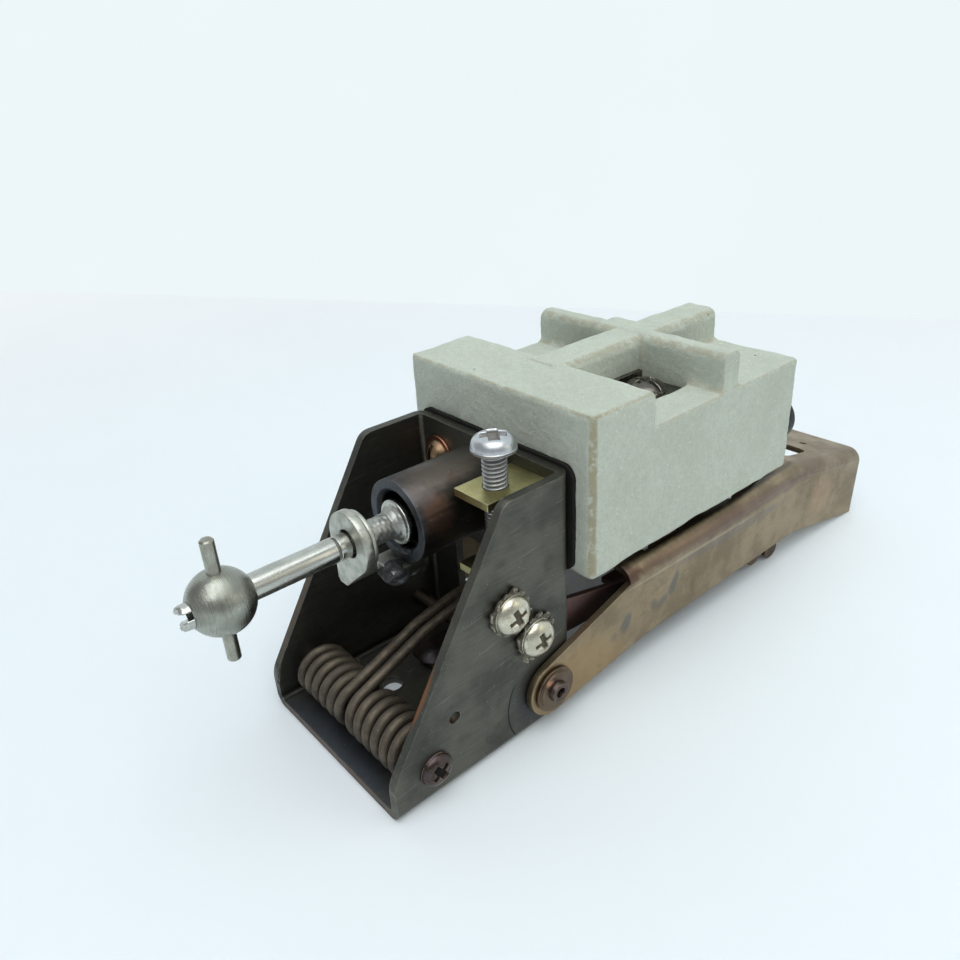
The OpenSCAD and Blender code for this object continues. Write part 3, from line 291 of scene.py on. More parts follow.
# (place - centre) turned back by the turn and divided by the sizes, so a noise of size 1 is drawn out to
# the sizes
def drawnOut(tree, place, sizes, turn=(0, 0, 0), centre=(0, 0, 0)):
    turn = tuple(math.radians(degrees) for degrees in turn)
    return put(tree, "ShaderNodeMapping", {"Vector": place, "Location": centre, "Rotation": turn,
               "Scale": sizes}, vector_type="TEXTURE").outputs[0]


# Noise between 0 and 1 whose largest lumps are about the size across
def noiseOf(tree, place, size=1.0, detail=3.0, rough=0.55, skew=0.0):
    return put(tree, "ShaderNodeTexNoise", {"Vector": place, "Scale": 1 / size, "Detail": detail,
               "Roughness": rough, "Distortion": skew}).outputs["Fac"]


# Share of an ellipse round a place: 1 inside, fading to 0 at its rim, where
# |(place - centre) / sizes| + (noise - 0.5) * broken is 1
def spotAt(tree, place, centre, sizes, turn=(0, 0, 0), broken=0.0):
    local = drawnOut(tree, place, sizes, turn, centre)
    far = put(tree, "ShaderNodeVectorMath", {0: local}, operation="LENGTH").outputs["Value"]
    if broken:
        far = plus(tree, far, swing(tree, noiseOf(tree, place, 1.6), broken))
    return between(tree, far, 1.0, 0.45)


# Lays coloured spots over a colour, each with its own share
def spotted(tree, place, colour, spots):
    for spot in spots:
        turn = spot.get("turn", (0, 0, 0))
        inside = spotAt(tree, place, spot["centre"], spot["sizes"], turn, spot["broken"])
        colour = blended(tree, times(tree, inside, spot["share"]), colour, spot["colour"])
    return colour


# Small round dots: 1 within half the size of a cell's centre and 0 past the size, in those cells whose own
# random number is over the chance
def scattered(tree, place, cell, size, chance):
    cells = put(tree, "ShaderNodeTexVoronoi", {"Vector": place, "Scale": 1 / cell, "Randomness": 1.0})
    own = put(tree, "ShaderNodeSeparateColor", {0: cells.outputs["Color"]}).outputs[1]
    return times(tree, between(tree, cells.outputs["Distance"], size, size * 0.5),
                 between(tree, own, chance, chance + 0.06))


# A thin scratch along part of a circle round a line along Y: 1 where the distance (x^2 + z^2)^0.5 from the
# line is the radius, left of, below and outside the bounds that are given from the centre
def arcAt(tree, place, arc):
    local = put(tree, "ShaderNodeVectorMath", {0: place, 1: arc["centre"]}, operation="SUBTRACT").outputs[0]
    x, y, z = put(tree, "ShaderNodeSeparateXYZ", {0: local}).outputs
    far = maths(tree, "SQRT", plus(tree, times(tree, x, x), times(tree, z, z)))
    off = maths(tree, "ABSOLUTE", maths(tree, "SUBTRACT", far, arc["radius"]))
    line = between(tree, off, arc["width"] * 1.4, arc["width"] * 0.5)
    side = times(tree, between(tree, x, *arc["leftOf"]), between(tree, z, *arc["below"]))
    return times(tree, times(tree, line, side), between(tree, y, *arc["outside"]))


# 1 along sharp edges and 0 on flats: 1 - (rounded normal . true normal), eased over the range
def edgeShare(tree, width, low, high):
    rounded = put(tree, "ShaderNodeBevel", {"Radius": width * mm}, samples=6).outputs[0]
    true = put(tree, "ShaderNodeNewGeometry").outputs["True Normal"]
    same = put(tree, "ShaderNodeVectorMath", {0: rounded, 1: true}, operation="DOT_PRODUCT").outputs["Value"]
    return between(tree, maths(tree, "SUBTRACT", 1.0, same), low, high)


# What a metal has unless its finish says otherwise. Sizes are in millimetres, turns in degrees, the other
# numbers are shares, and a range gives the two levels of a noise between which its pattern goes from none
# to full
plainMetal = dict(
    patchSize=7.0, patchRange=(0.35, 0.65), roughPatch=0.1, roughBrush=0.25, roughStain=0.15, roughGrimeShade=0.35,
    grain=0.25, grainSize=0.35, grainBump=0.5, brush=0.5, brushSizes=(6.0, 0.1, 0.1), brushTurn=(0, 0, 0),
    brushBump=0.5, scratches=0, scratchSizes=(7.0, 0.16, 0.16), scratchRange=(0.66, 0.72), scratchSpread=5.0,
    scratchPlaces=(0.42, 0.62), spots=(), arcs=(), spotsOver=(), stains=0, stainSize=3.0,
    stainRange=(0.56, 0.7), edge=0, edgeWidth=0.25, edgeRange=(0.02, 0.25), edgeGap=1.2, edgeGaps=(0.3, 0.6),
    specks=0, speckSize=0.07, speckCell=1.5, speckChance=0.55, grimeShade=0, grimeShadeDulls=0.5, metallic=1.0,
    specular=0.5, bump=0.02, roundEdge=0.15)


# Metal: two tones in broad patches, times 1 + grain, times 1 + brushing along one direction, then thin
# scratches, spots of its own (some are painted shade, shadow, light or highlights), stains, rubbed edges,
# specks, and grime with painted shade in hollows laid over, with roughness and bump from the same patterns
def metal(name, finish):
    look = {**plainMetal, **finish}
    material = emptyMaterial(name)
    tree = material.node_tree
    place = placeOf(tree)
    patch = between(tree, noiseOf(tree, place, look["patchSize"], 4.0, 0.6), *look["patchRange"])
    colour = blended(tree, patch, look["colour"], look["second"])
    grain = noiseOf(tree, place, look["grainSize"], 2.0, 0.6)
    colour = lightened(tree, colour, swing(tree, grain, look["grain"]))
    brushed = noiseOf(tree, drawnOut(tree, place, look["brushSizes"], look["brushTurn"]), 1.0, 3.0, 0.7)
    brushShare = swing(tree, brushed, look["brush"])
    colour = lightened(tree, colour, brushShare)
    rough = plus(tree, look["rough"], swing(tree, patch, look["roughPatch"]))
    rough = plus(tree, rough, times(tree, brushShare, look["roughBrush"]))
    if look["scratches"]:
        turn = look.get("scratchTurn", look["brushTurn"])
        lines = noiseOf(tree, drawnOut(tree, place, look["scratchSizes"], turn), 1.0, 1.0, 0.5)
        where = between(tree, noiseOf(tree, place, look["scratchSpread"], 2.0), *look["scratchPlaces"])
        lines = times(tree, between(tree, lines, *look["scratchRange"]), where)
        colour = blended(tree, times(tree, lines, look["scratches"]), colour, look["scratchColour"])
    colour = spotted(tree, place, colour, look["spots"])
    for arc in look["arcs"]:
        colour = blended(tree, times(tree, arcAt(tree, place, arc), arc["share"]), colour, arc["colour"])
    if look["stains"]:
        stain = between(tree, noiseOf(tree, place, look["stainSize"], 5.0, 0.65, 0.6), *look["stainRange"])
        stain = times(tree, stain, look["stains"])
        colour = blended(tree, stain, colour, look["stainColour"])
        rough = plus(tree, rough, times(tree, stain, look["roughStain"]))
    if look["edge"]:
        rubbed = between(tree, noiseOf(tree, place, look["edgeGap"], 3.0), *look["edgeGaps"])
        rubbed = times(tree, edgeShare(tree, look["edgeWidth"], *look["edgeRange"]), rubbed)
        colour = blended(tree, times(tree, rubbed, look["edge"]), colour, look["edgeColour"])
    colour = spotted(tree, place, colour, look["spotsOver"])
    if look["specks"]:
        specks = scattered(tree, place, look["speckCell"], look["speckSize"], look["speckChance"])
        colour = blended(tree, times(tree, specks, look["specks"]), colour, look["speckColour"])
    metallic = look["metallic"]
    # Darkening from the point attribute: grime, and painted shade in recesses, thread valleys and grooves
    if look["grimeShade"]:
        grimeShadeMask = put(tree, "ShaderNodeAttribute", attribute_name="grimeShade").outputs["Fac"]
        grimeShadeMask = times(tree, grimeShadeMask, look["grimeShade"])
        colour = blended(tree, grimeShadeMask, colour, look["grimeShadeColour"])
        rough = plus(tree, rough, times(tree, grimeShadeMask, look["roughGrimeShade"]))
        metallic = maths(tree, "SUBTRACT", metallic, times(tree, grimeShadeMask, look["grimeShadeDulls"]))
    height = plus(tree, times(tree, brushed, look["brushBump"]), times(tree, grain, look["grainBump"]))
    rounded = put(tree, "ShaderNodeBevel", {"Radius": look["roundEdge"] * mm}, samples=6).outputs[0]
    bump = put(tree, "ShaderNodeBump", {"Height": height, "Distance": look["bump"] * mm, "Strength": 1.0,
               "Normal": rounded}).outputs[0]
    shader = put(tree, "ShaderNodeBsdfPrincipled", {"Base Color": colour, "Metallic": metallic,
                 "Roughness": rough, "Normal": bump, "Specular IOR Level": look["specular"]})
    put(tree, "ShaderNodeOutputMaterial", {"Surface": shader.outputs[0]})
    return material


sharpAngle = 38  # degrees; edges that turn by more get a bevel


# Gives a CAD node its finish and a small real bevel along its sharp edges
def dress(nodeName, material, width):
    node = nodes[nodeName]
    node.data.materials.clear()
    node.data.materials.append(material)
    node.modifiers.new("weld", "WELD").merge_threshold = weldReach
    bevel = node.modifiers.new("bevel", "BEVEL")
    bevel.width, bevel.segments, bevel.limit_method = width * mm, 2, "ANGLE"
    bevel.angle_limit = math.radians(sharpAngle)
    bevel.harden_normals = bevel.use_clamp_overlap = True


# Gives a new piece its finish and its body, and hides the node it stands for
def fit(piece, material, body, replaced):
    piece.data.materials.append(material)
    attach(piece, body)
    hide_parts(replaced)


# Finishes: two tones, roughness, and whatever differs from the plain metal. A spot is an ellipse at a place
# on the part, and those in spotsOver lie over the rubbed edges
blueStain = (0.150, 0.150, 0.140)
finishes = {
    "frameSteel": dict(
        colour=(0.132, 0.128, 0.106), second=(0.092, 0.091, 0.080), rough=0.5, roughPatch=0.1,
        patchSize=11.0, brushSizes=(9.0, 0.26, 0.26), brushTurn=(0, 3, 0), brush=1.0, scratches=0.8,
        scratchColour=(0.25, 0.255, 0.23), scratchSizes=(11.0, 0.3, 0.3), scratchTurn=(0, -8, 0),
        stains=0.3, stainColour=(0.055, 0.055, 0.05), stainSize=6.0, edge=0.8,
        edgeColour=(0.27, 0.26, 0.22), edgeWidth=0.35, bump=0.03, specks=0.6,
        speckColour=(0.45, 0.42, 0.36),
        spotsOver=[
            dict(centre=(-13.0, -19.7, 21.9), sizes=(7.0, 0.9, 1.3), turn=(0, -58, 0), share=0.9,
                 colour=(0.27, 0.13, 0.065), broken=0.5),
            dict(centre=(-8.4, -20.3, 15.1), sizes=(1.7, 0.8, 2.0), share=0.85,
                 colour=(0.30, 0.145, 0.065), broken=0.3),
            dict(centre=(-21.6, 0.0, 0.9), sizes=(0.7, 30.0, 1.1), share=0.6, colour=(0.20, 0.125, 0.08),
                 broken=1.3),
            dict(centre=(-13.0, 20.6, 21.9), sizes=(20.0, 1.3, 0.9), turn=(0, -58, 0), share=0.5,
                 colour=(0.17, 0.12, 0.085), broken=1.2)],
        spots=[
            dict(centre=(-20.0, 0.0, 1.0), sizes=(7.0, 26.0, 2.4), share=0.85,
                 colour=(0.082, 0.094, 0.115), broken=0.5),
            dict(centre=(14.6, -21.3, 9.2), sizes=(12.5, 1.0, 12.5), share=0.65,
                 colour=(0.062, 0.068, 0.075), broken=0.5),
            # Painted shade: near-black along the far cheek's inner bend, which lies in shade
            dict(centre=(0.0, 20.3, 1.6), sizes=(90.0, 2.6, 2.4), share=0.9, colour=(0.020, 0.020, 0.018),
                 broken=0.3)],
        arcs=[
            dict(centre=(15.5, -21.3, 7.6), radius=11.1, width=0.16, leftOf=(-7.6, -8.6),
                 below=(6.4, 5.4), outside=(1.0, 0.5), share=0.95, colour=(0.018, 0.018, 0.016))]),
    # Near-black for the insulating sheet: the sheet's own black, with painted shade of the narrow gap between
    # frame and block
    "sheetBlackShade": dict(
        colour=(0.010, 0.010, 0.009), second=(0.018, 0.017, 0.015), rough=0.8, metallic=0.0, brush=0.3,
        edge=0.3, edgeColour=(0.04, 0.038, 0.035), bump=0.02, specular=0.2),
    "leverBronze": dict(
        colour=(0.33, 0.258, 0.162), second=(0.245, 0.190, 0.124), rough=0.44, roughPatch=0.12,
        patchSize=9.0, brushSizes=(10.0, 0.16, 0.16), brush=0.45, scratches=0.3, specks=0.5,
        speckColour=(0.52, 0.46, 0.36), grain=0.4, scratchColour=(0.48, 0.41, 0.29), stains=0.35,
        stainColour=(0.17, 0.125, 0.095), stainSize=6.0, edge=0.7, edgeColour=(0.46, 0.36, 0.24),
        edgeWidth=0.25, bump=0.02,
        spots=[
            dict(centre=(50.9, -23.0, 15.2), sizes=(1.5, 1.5, 4.4), turn=(0, 28, 0), share=0.8,
                 colour=blueStain, broken=0.8),
            dict(centre=(47.4, -23.0, 12.6), sizes=(2.4, 1.5, 1.5), turn=(0, -25, 0), share=0.6,
                 colour=blueStain, broken=0.9),
            dict(centre=(44.4, -23.0, 13.2), sizes=(1.3, 1.5, 1.9), share=0.6, colour=blueStain,
                 broken=0.9),
            dict(centre=(35.6, -23.0, 13.2), sizes=(2.0, 1.5, 3.3), turn=(0, 24, 0), share=0.8,
                 colour=blueStain, broken=0.7),
            dict(centre=(31.8, -23.0, 11.4), sizes=(1.4, 1.5, 1.6), share=0.6, colour=blueStain,
                 broken=0.9),
            dict(centre=(70.0, -22.6, 22.6), sizes=(52.0, 2.4, 2.5), turn=(0, 1.5, 0), share=0.7,
                 colour=(0.17, 0.115, 0.095), broken=0.7),
            dict(centre=(72.0, -23.0, 18.8), sizes=(30.0, 1.6, 2.0), turn=(0, 2, 0), share=0.5,
                 colour=(0.20, 0.175, 0.165), broken=0.9),
            dict(centre=(58.0, -23.0, 20.3), sizes=(34.0, 1.2, 0.45), turn=(0, 1.5, 0), share=0.45,
                 colour=(0.48, 0.42, 0.32), broken=0.9),
            dict(centre=(21.0, -23.0, 8.5), sizes=(17.0, 1.5, 9.0), share=0.65,
                 colour=(0.37, 0.255, 0.13), broken=0.8),
            # Painted shadow: near-black along the web's near edge, where the block's bottom edge shades it
            dict(centre=(66.0, -19.7, 24.9), sizes=(46.0, 1.7, 1.3), share=0.92,
                 colour=(0.028, 0.022, 0.018), broken=0.25),
            dict(centre=(36.0, -22.0, 23.0), sizes=(6.0, 4.0, 2.6), share=0.8, colour=(0.13, 0.075, 0.06),
                 broken=0.7),
            dict(centre=(112.0, -23.0, 12.0), sizes=(7.0, 1.6, 7.0), turn=(0, 20, 0), share=0.5,
                 colour=(0.44, 0.29, 0.185), broken=1.1)]),
    # Darker than the lever: the leaves' own bronze, and painted shade on leaves that face down
    "leafBronzeShade": dict(
        colour=(0.13, 0.085, 0.055), second=(0.09, 0.06, 0.045), rough=0.45, patchSize=3.0, brush=0.4,
        stains=0.4, stainColour=(0.06, 0.045, 0.035), edge=0.5, edgeColour=(0.30, 0.21, 0.13)),
    "pivotBronze": dict(
        colour=(0.150, 0.108, 0.072), second=(0.108, 0.078, 0.058), rough=0.36, brush=0.5,
        brushSizes=(0.2, 3.0, 3.0), stains=0.6, stainColour=(0.10, 0.075, 0.07), stainSize=1.6, edge=0.9,
        edgeColour=(0.44, 0.29, 0.19), edgeWidth=0.3,
        spots=[
            # Painted highlight: a bright copper glint on the washer's upper edge
            dict(centre=(12.6, -24.6, 12.0), sizes=(1.5, 1.0, 1.0), share=0.85, colour=(0.72, 0.36, 0.22),
                 broken=0.6)]),
    "axleDark": dict(
        colour=(0.12, 0.088, 0.068), second=(0.085, 0.068, 0.06), rough=0.34, patchSize=1.5, brush=0.3,
        stains=0.4, stainColour=(0.09, 0.10, 0.12), stainSize=1.0, edge=0.9,
        edgeColour=(0.34, 0.26, 0.20)),
    "spring": dict(
        colour=(0.132, 0.107, 0.078), second=(0.080, 0.066, 0.052), rough=0.5, roughPatch=0.15,
        patchSize=2.6, metallic=0.7, brush=0.6, brushSizes=(0.5, 0.5, 0.5), stains=0.5,
        stainColour=(0.13, 0.085, 0.05), stainSize=1.8, grain=0.9, grainSize=0.26, bump=0.07,
        grainBump=1.6, specks=0.75, speckColour=(0.42, 0.27, 0.15), speckSize=0.09,
        spots=[
            dict(centre=(-13.4, 0.0, 12.0), sizes=(9.0, 24.0, 5.0), share=0.35, broken=0.7,
                 colour=(0.18, 0.15, 0.112))]),
    "turnedSteel": dict(
        colour=(0.53, 0.535, 0.50), second=(0.42, 0.425, 0.39), rough=0.25, roughPatch=0.08,
        brushSizes=(9.0, 0.3, 0.3), brush=0.45, brushBump=0.5, bump=0.012, edge=0.5,
        edgeColour=(0.74, 0.74, 0.70), grain=0.12, stains=0.2, stainColour=(0.30, 0.29, 0.24),
        stainSize=2.5, grimeShade=0.75, grimeShadeColour=(0.13, 0.135, 0.125)),
    "ballSteel": dict(
        colour=(0.345, 0.355, 0.31), second=(0.27, 0.275, 0.238), rough=0.29, roughPatch=0.08,
        patchSize=3.0, brushSizes=(0.11, 7.0, 7.0), brush=0.9, brushBump=1.3, bump=0.03, edge=0.4,
        edgeColour=(0.60, 0.61, 0.56), grain=0.12),
    "pinSteel": dict(
        colour=(0.37, 0.37, 0.315), second=(0.29, 0.285, 0.24), rough=0.3, roughPatch=0.1, patchSize=2.5,
        brushSizes=(0.4, 0.4, 5.0), brush=0.4, stains=0.25, stainColour=(0.22, 0.19, 0.14), stainSize=1.4,
        edge=0.8, edgeColour=(0.74, 0.73, 0.67)),
    "zinc": dict(
        colour=(0.50, 0.505, 0.45), second=(0.39, 0.395, 0.345), rough=0.42, roughPatch=0.15,
        patchSize=2.4, brushSizes=(1.2, 0.3, 0.3), brush=0.3, stains=0.5, stainColour=(0.22, 0.215, 0.18),
        stainSize=1.3, edge=0.8, edgeColour=(0.76, 0.76, 0.71), bump=0.03, grainBump=1.2,
        spots=[
            # Darker round the bracket's foot: braze there, with painted shade under the bracket
            dict(centre=(0.5, 0.0, 34.0), sizes=(6.5, 6.5, 2.0), share=0.75, colour=(0.15, 0.15, 0.13),
                 broken=0.9)]),
    "brightZinc": dict(
        colour=(0.58, 0.60, 0.62), second=(0.50, 0.52, 0.545), rough=0.33, roughPatch=0.08, patchSize=1.6,
        brush=0.1, stains=0.2, stainColour=(0.32, 0.32, 0.33), stainSize=0.9, edge=0.4,
        edgeColour=(0.80, 0.80, 0.80), bump=0.012, grainBump=0.8, grimeShade=0.85,
        grimeShadeColour=(0.14, 0.125, 0.10)),
    "nickel": dict(
        colour=(0.63, 0.61, 0.50), second=(0.52, 0.49, 0.385), rough=0.27, roughPatch=0.1, patchSize=2.0,
        brush=0.12, stains=0.35, stainColour=(0.34, 0.23, 0.13), stainSize=1.3, edge=0.4,
        edgeColour=(0.80, 0.78, 0.69), bump=0.015, grimeShade=0.9, grimeShadeColour=(0.10, 0.085, 0.055)),
    "corroded": dict(
        colour=(0.30, 0.28, 0.22), second=(0.13, 0.118, 0.09), rough=0.55, roughPatch=0.3, patchSize=0.8,
        metallic=0.7, grain=0.8, grainSize=0.25, brush=0.2, stains=0.85, stainColour=(0.62, 0.61, 0.53),
        stainSize=0.9, bump=0.12, grainBump=1.5, edge=0.5, edgeColour=(0.62, 0.61, 0.56)),
    "darkNickel": dict(
        colour=(0.20, 0.185, 0.16), second=(0.12, 0.11, 0.098), rough=0.27, roughPatch=0.15,
        patchSize=2.0, brushSizes=(4.0, 0.12, 0.12), brush=0.6, edge=0.9, edgeColour=(0.62, 0.59, 0.52),
        stains=0.4, stainColour=(0.08, 0.065, 0.05), stainSize=1.5, grimeShade=0.8,
        grimeShadeColour=(0.05, 0.042, 0.032)),
    "brass": dict(
        colour=(0.64, 0.585, 0.30), second=(0.54, 0.49, 0.24), rough=0.36, roughPatch=0.14, patchSize=3.0,
        brushSizes=(0.14, 4.0, 0.14), brush=0.5, scratches=0.7, scratchColour=(0.26, 0.23, 0.10),
        scratchTurn=(0, 0, 80), scratchSizes=(5.0, 0.22, 0.22), stains=0.35,
        stainColour=(0.27, 0.24, 0.11), stainSize=2.0, edge=0.95, edgeColour=(0.86, 0.80, 0.48),
        edgeWidth=0.25, bump=0.02),
    "brownSteel": dict(
        colour=(0.11, 0.08, 0.07), second=(0.072, 0.056, 0.055), rough=0.42, roughPatch=0.15,
        patchSize=4.0, brush=0.3, stains=0.5, stainColour=(0.13, 0.08, 0.06), stainSize=3.0, edge=0.7,
        edgeColour=(0.36, 0.26, 0.22), bump=0.03),
    "arborBrown": dict(
        colour=(0.072, 0.055, 0.042), second=(0.085, 0.065, 0.07), rough=0.3, roughPatch=0.15,
        patchSize=1.2, brush=0.2, stains=0.6, stainColour=(0.15, 0.095, 0.065), stainSize=1.0, edge=0.9,
        edgeColour=(0.32, 0.22, 0.19), bump=0.03, grimeShade=1.0, grimeShadeColour=(0.012, 0.011, 0.010)),
    "tubeSteel": dict(
        colour=(0.062, 0.055, 0.047), second=(0.045, 0.043, 0.041), rough=0.45, roughPatch=0.12,
        patchSize=6.0, brushSizes=(0.3, 5.0, 5.0), brush=0.3, stains=0.5,
        stainColour=(0.095, 0.06, 0.042), stainSize=5.0, edge=0.8, edgeColour=(0.20, 0.215, 0.235),
        edgeWidth=0.5, bump=0.03, specks=0.7, speckColour=(0.50, 0.42, 0.32),
        spots=[
            # Painted light: a paler patch over the top of the tube, where the light from above falls
            dict(centre=(9.0, -1.5, 51.0), sizes=(13.0, 6.5, 3.2), share=0.6, colour=(0.14, 0.115, 0.095),
                 broken=0.6),
            dict(centre=(2.8, -7.2, 45.8), sizes=(4.4, 3.6, 4.8), share=0.6, colour=(0.17, 0.095, 0.065),
                 broken=0.7),
            dict(centre=(0.6, -4.6, 49.5), sizes=(3.4, 3.6, 3.0), share=0.4, colour=(0.125, 0.105, 0.105),
                 broken=0.8),
            dict(centre=(-1.5, 0, 43.3), sizes=(1.7, 11.0, 11.0), share=0.9, colour=(0.085, 0.098, 0.115),
                 broken=0.5)]),
    "screwBronze": dict(
        colour=(0.27, 0.185, 0.105), second=(0.20, 0.13, 0.08), rough=0.36, patchSize=1.8, brush=0.2,
        edge=0.7, edgeColour=(0.52, 0.38, 0.24), grimeShade=0.8, grimeShadeColour=(0.05, 0.04, 0.03)),
    "ringCopper": dict(
        colour=(0.40, 0.19, 0.12), second=(0.26, 0.13, 0.09), rough=0.36, patchSize=3.0, brush=0.4,
        brushSizes=(5.0, 0.15, 0.15), stains=0.3, stainColour=(0.16, 0.09, 0.07), edge=0.6,
        edgeColour=(0.58, 0.34, 0.24)),
    # Dark old copper: the tarnish of blades, bars and rivets, and painted shade where the blades show in the
    # gap under the block
    "oldCopperShade": dict(
        colour=(0.17, 0.095, 0.062), second=(0.11, 0.068, 0.05), rough=0.48, patchSize=3.0, brush=0.4,
        brushSizes=(5.0, 0.2, 0.2), stains=0.4, stainColour=(0.07, 0.05, 0.042), edge=0.6,
        edgeColour=(0.36, 0.22, 0.15)),
    "rivetDark": dict(
        colour=(0.085, 0.075, 0.078), second=(0.055, 0.048, 0.052), rough=0.42, metallic=0.8, grain=0.5,
        grainSize=0.6, bump=0.06, grainBump=1.2, brush=0.1),
    "braze": dict(
        colour=(0.085, 0.09, 0.092), second=(0.045, 0.045, 0.046), rough=0.5, metallic=0.7, patchSize=1.2,
        grain=0.7, grainSize=0.4, bump=0.12, grainBump=1.5, brush=0.1, stains=0.5,
        stainColour=(0.20, 0.21, 0.20), stainSize=0.9),
    "fibre": dict(
        colour=(0.055, 0.032, 0.022), second=(0.042, 0.026, 0.018), rough=0.7, metallic=0.0, grain=0.5,
        brushSizes=(3.0, 3.0, 0.2), brush=0.5, specular=0.3),
    "capBlack": dict(
        colour=(0.012, 0.012, 0.012), second=(0.020, 0.019, 0.019), rough=0.42, metallic=0.0, brush=0.1,
        grain=0.2, stains=0.2, stainColour=(0.03, 0.03, 0.03), bump=0.015, specular=0.3),
    "armPurple": dict(
        colour=(0.15, 0.09, 0.082), second=(0.105, 0.07, 0.07), rough=0.45, patchSize=5.0, brush=0.4,
        stains=0.4, stainColour=(0.075, 0.055, 0.048), edge=0.5, edgeColour=(0.28, 0.20, 0.17)),
}
made = {name: metal(name, look) for name, look in finishes.items()}
print("stage: metal finishes made,", len(made))

# Each pattern of the ceramic: a noise's size, detail and roughness, the levels where it begins and is full,
# and its share
ceramicLook = dict(
    colour=(0.620, 0.655, 0.565), second=(0.560, 0.592, 0.502), worn=(0.37, 0.325, 0.20),
    granule=(0.41, 0.44, 0.38), fleck=(0.80, 0.82, 0.75), pit=(0.09, 0.09, 0.07),
    broad=dict(size=14.0, detail=4.0, rough=0.6, low=0.3, high=0.7),
    mottle=dict(size=1.4, detail=5.0, rough=0.75, low=0.3, high=0.7), mottleShare=0.3,
    fine=dict(size=0.42, detail=3.0, rough=0.75, low=0.46, high=0.68), fineShare=0.5,
    streaks=dict(size=1.0, detail=3.0, rough=0.6, low=0.5, high=0.75), streakShare=0.06,
    streakSizes=(0.9, 0.9, 7.0),
    torn=dict(size=0.6, detail=2.0, rough=0.6, low=0.655, high=0.705), tornShare=0.6,
    tornPlaces=dict(size=5.0, detail=2.0, rough=0.55, low=0.40, high=0.56),
    pits=dict(cell=4.3, size=0.085, chance=0.72), pitShare=0.8, pitDepth=3.0,
    grit=dict(cell=2.1, size=0.10, chance=0.62), gritShare=0.7,
    chipped=dict(size=2.0, detail=5.0, rough=0.75, low=0.36, high=0.56), wornShare=0.5,
    corner=dict(centre=(23.2, -25.4, 45.0), sizes=(7.0, 7.0, 34.0)), cornerShare=0.35,
    rough=0.78, roughMottle=0.12, bump=0.1, specular=0.3)


# One of the ceramic's patterns: its noise, and the same eased from 0 at low to 1 at high
def patternOf(tree, place, p):
    noise = noiseOf(tree, place, p["size"], p["detail"], p["rough"])
    return noise, between(tree, noise, p["low"], p["high"])


# Unglazed ceramic: two broad tones, granules at two sizes, faint streaks, torn flecks, light grit and dark
# pits, then tan where the attribute "worn" and a broken noise meet, more so at one corner; its height is
# fine + mottled - pits * depth
def ceramic(name, look):
    material = emptyMaterial(name)
    tree = material.node_tree
    place = placeOf(tree)
    colour = blended(tree, patternOf(tree, place, look["broad"])[1], look["colour"], look["second"])
    mottled = patternOf(tree, place, look["mottle"])[1]
    colour = blended(tree, times(tree, mottled, look["mottleShare"]), colour, look["granule"])
    fine, granules = patternOf(tree, place, look["fine"])
    colour = blended(tree, times(tree, granules, look["fineShare"]), colour, look["granule"])
    streaks = patternOf(tree, drawnOut(tree, place, look["streakSizes"]), look["streaks"])[1]
    colour = blended(tree, times(tree, streaks, look["streakShare"]), colour, look["fleck"])
    where = patternOf(tree, place, look["tornPlaces"])[1]
    flecks = times(tree, patternOf(tree, place, look["torn"])[1], where)
    colour = blended(tree, times(tree, flecks, look["tornShare"]), colour, look["fleck"])
    pits, grit = scattered(tree, place, **look["pits"]), scattered(tree, place, **look["grit"])
    colour = blended(tree, times(tree, grit, look["gritShare"]), colour, look["fleck"])
    colour = blended(tree, times(tree, pits, look["pitShare"]), colour, look["pit"])
    worn = put(tree, "ShaderNodeAttribute", attribute_name="worn").outputs["Fac"]
    worn = times(tree, worn, patternOf(tree, place, look["chipped"])[1])
    corner = times(tree, spotAt(tree, place, **look["corner"]), look["cornerShare"])
    colour = blended(tree, times(tree, worn, plus(tree, look["wornShare"], corner)), colour, look["worn"])
    height = maths(tree, "SUBTRACT", plus(tree, fine, mottled), times(tree, pits, look["pitDepth"]))
    bump = put(tree, "ShaderNodeBump", {"Height": height, "Distance": look["bump"] * mm,
               "Strength": 1.0}).outputs[0]
    rough = plus(tree, look["rough"], times(tree, mottled, look["roughMottle"]))
    shader = put(tree, "ShaderNodeBsdfPrincipled", {"Base Color": colour, "Roughness": rough, "Normal": bump,
                 "Specular IOR Level": look["specular"]})
    put(tree, "ShaderNodeOutputMaterial", {"Surface": shader.outputs[0]})
    return material


# The waves are pairs of length and height, and the wear goes from none to full between the two leans
block = dict(voxel=0.42, uneven=0.5, shrink=0.02, seed=4, wavesEach=3, wearLeans=(0.02, 0.16),
             waves=((19, 0.10), (11, 0.07), (6, 0.05), (3.1, 0.035), (1.7, 0.022)))


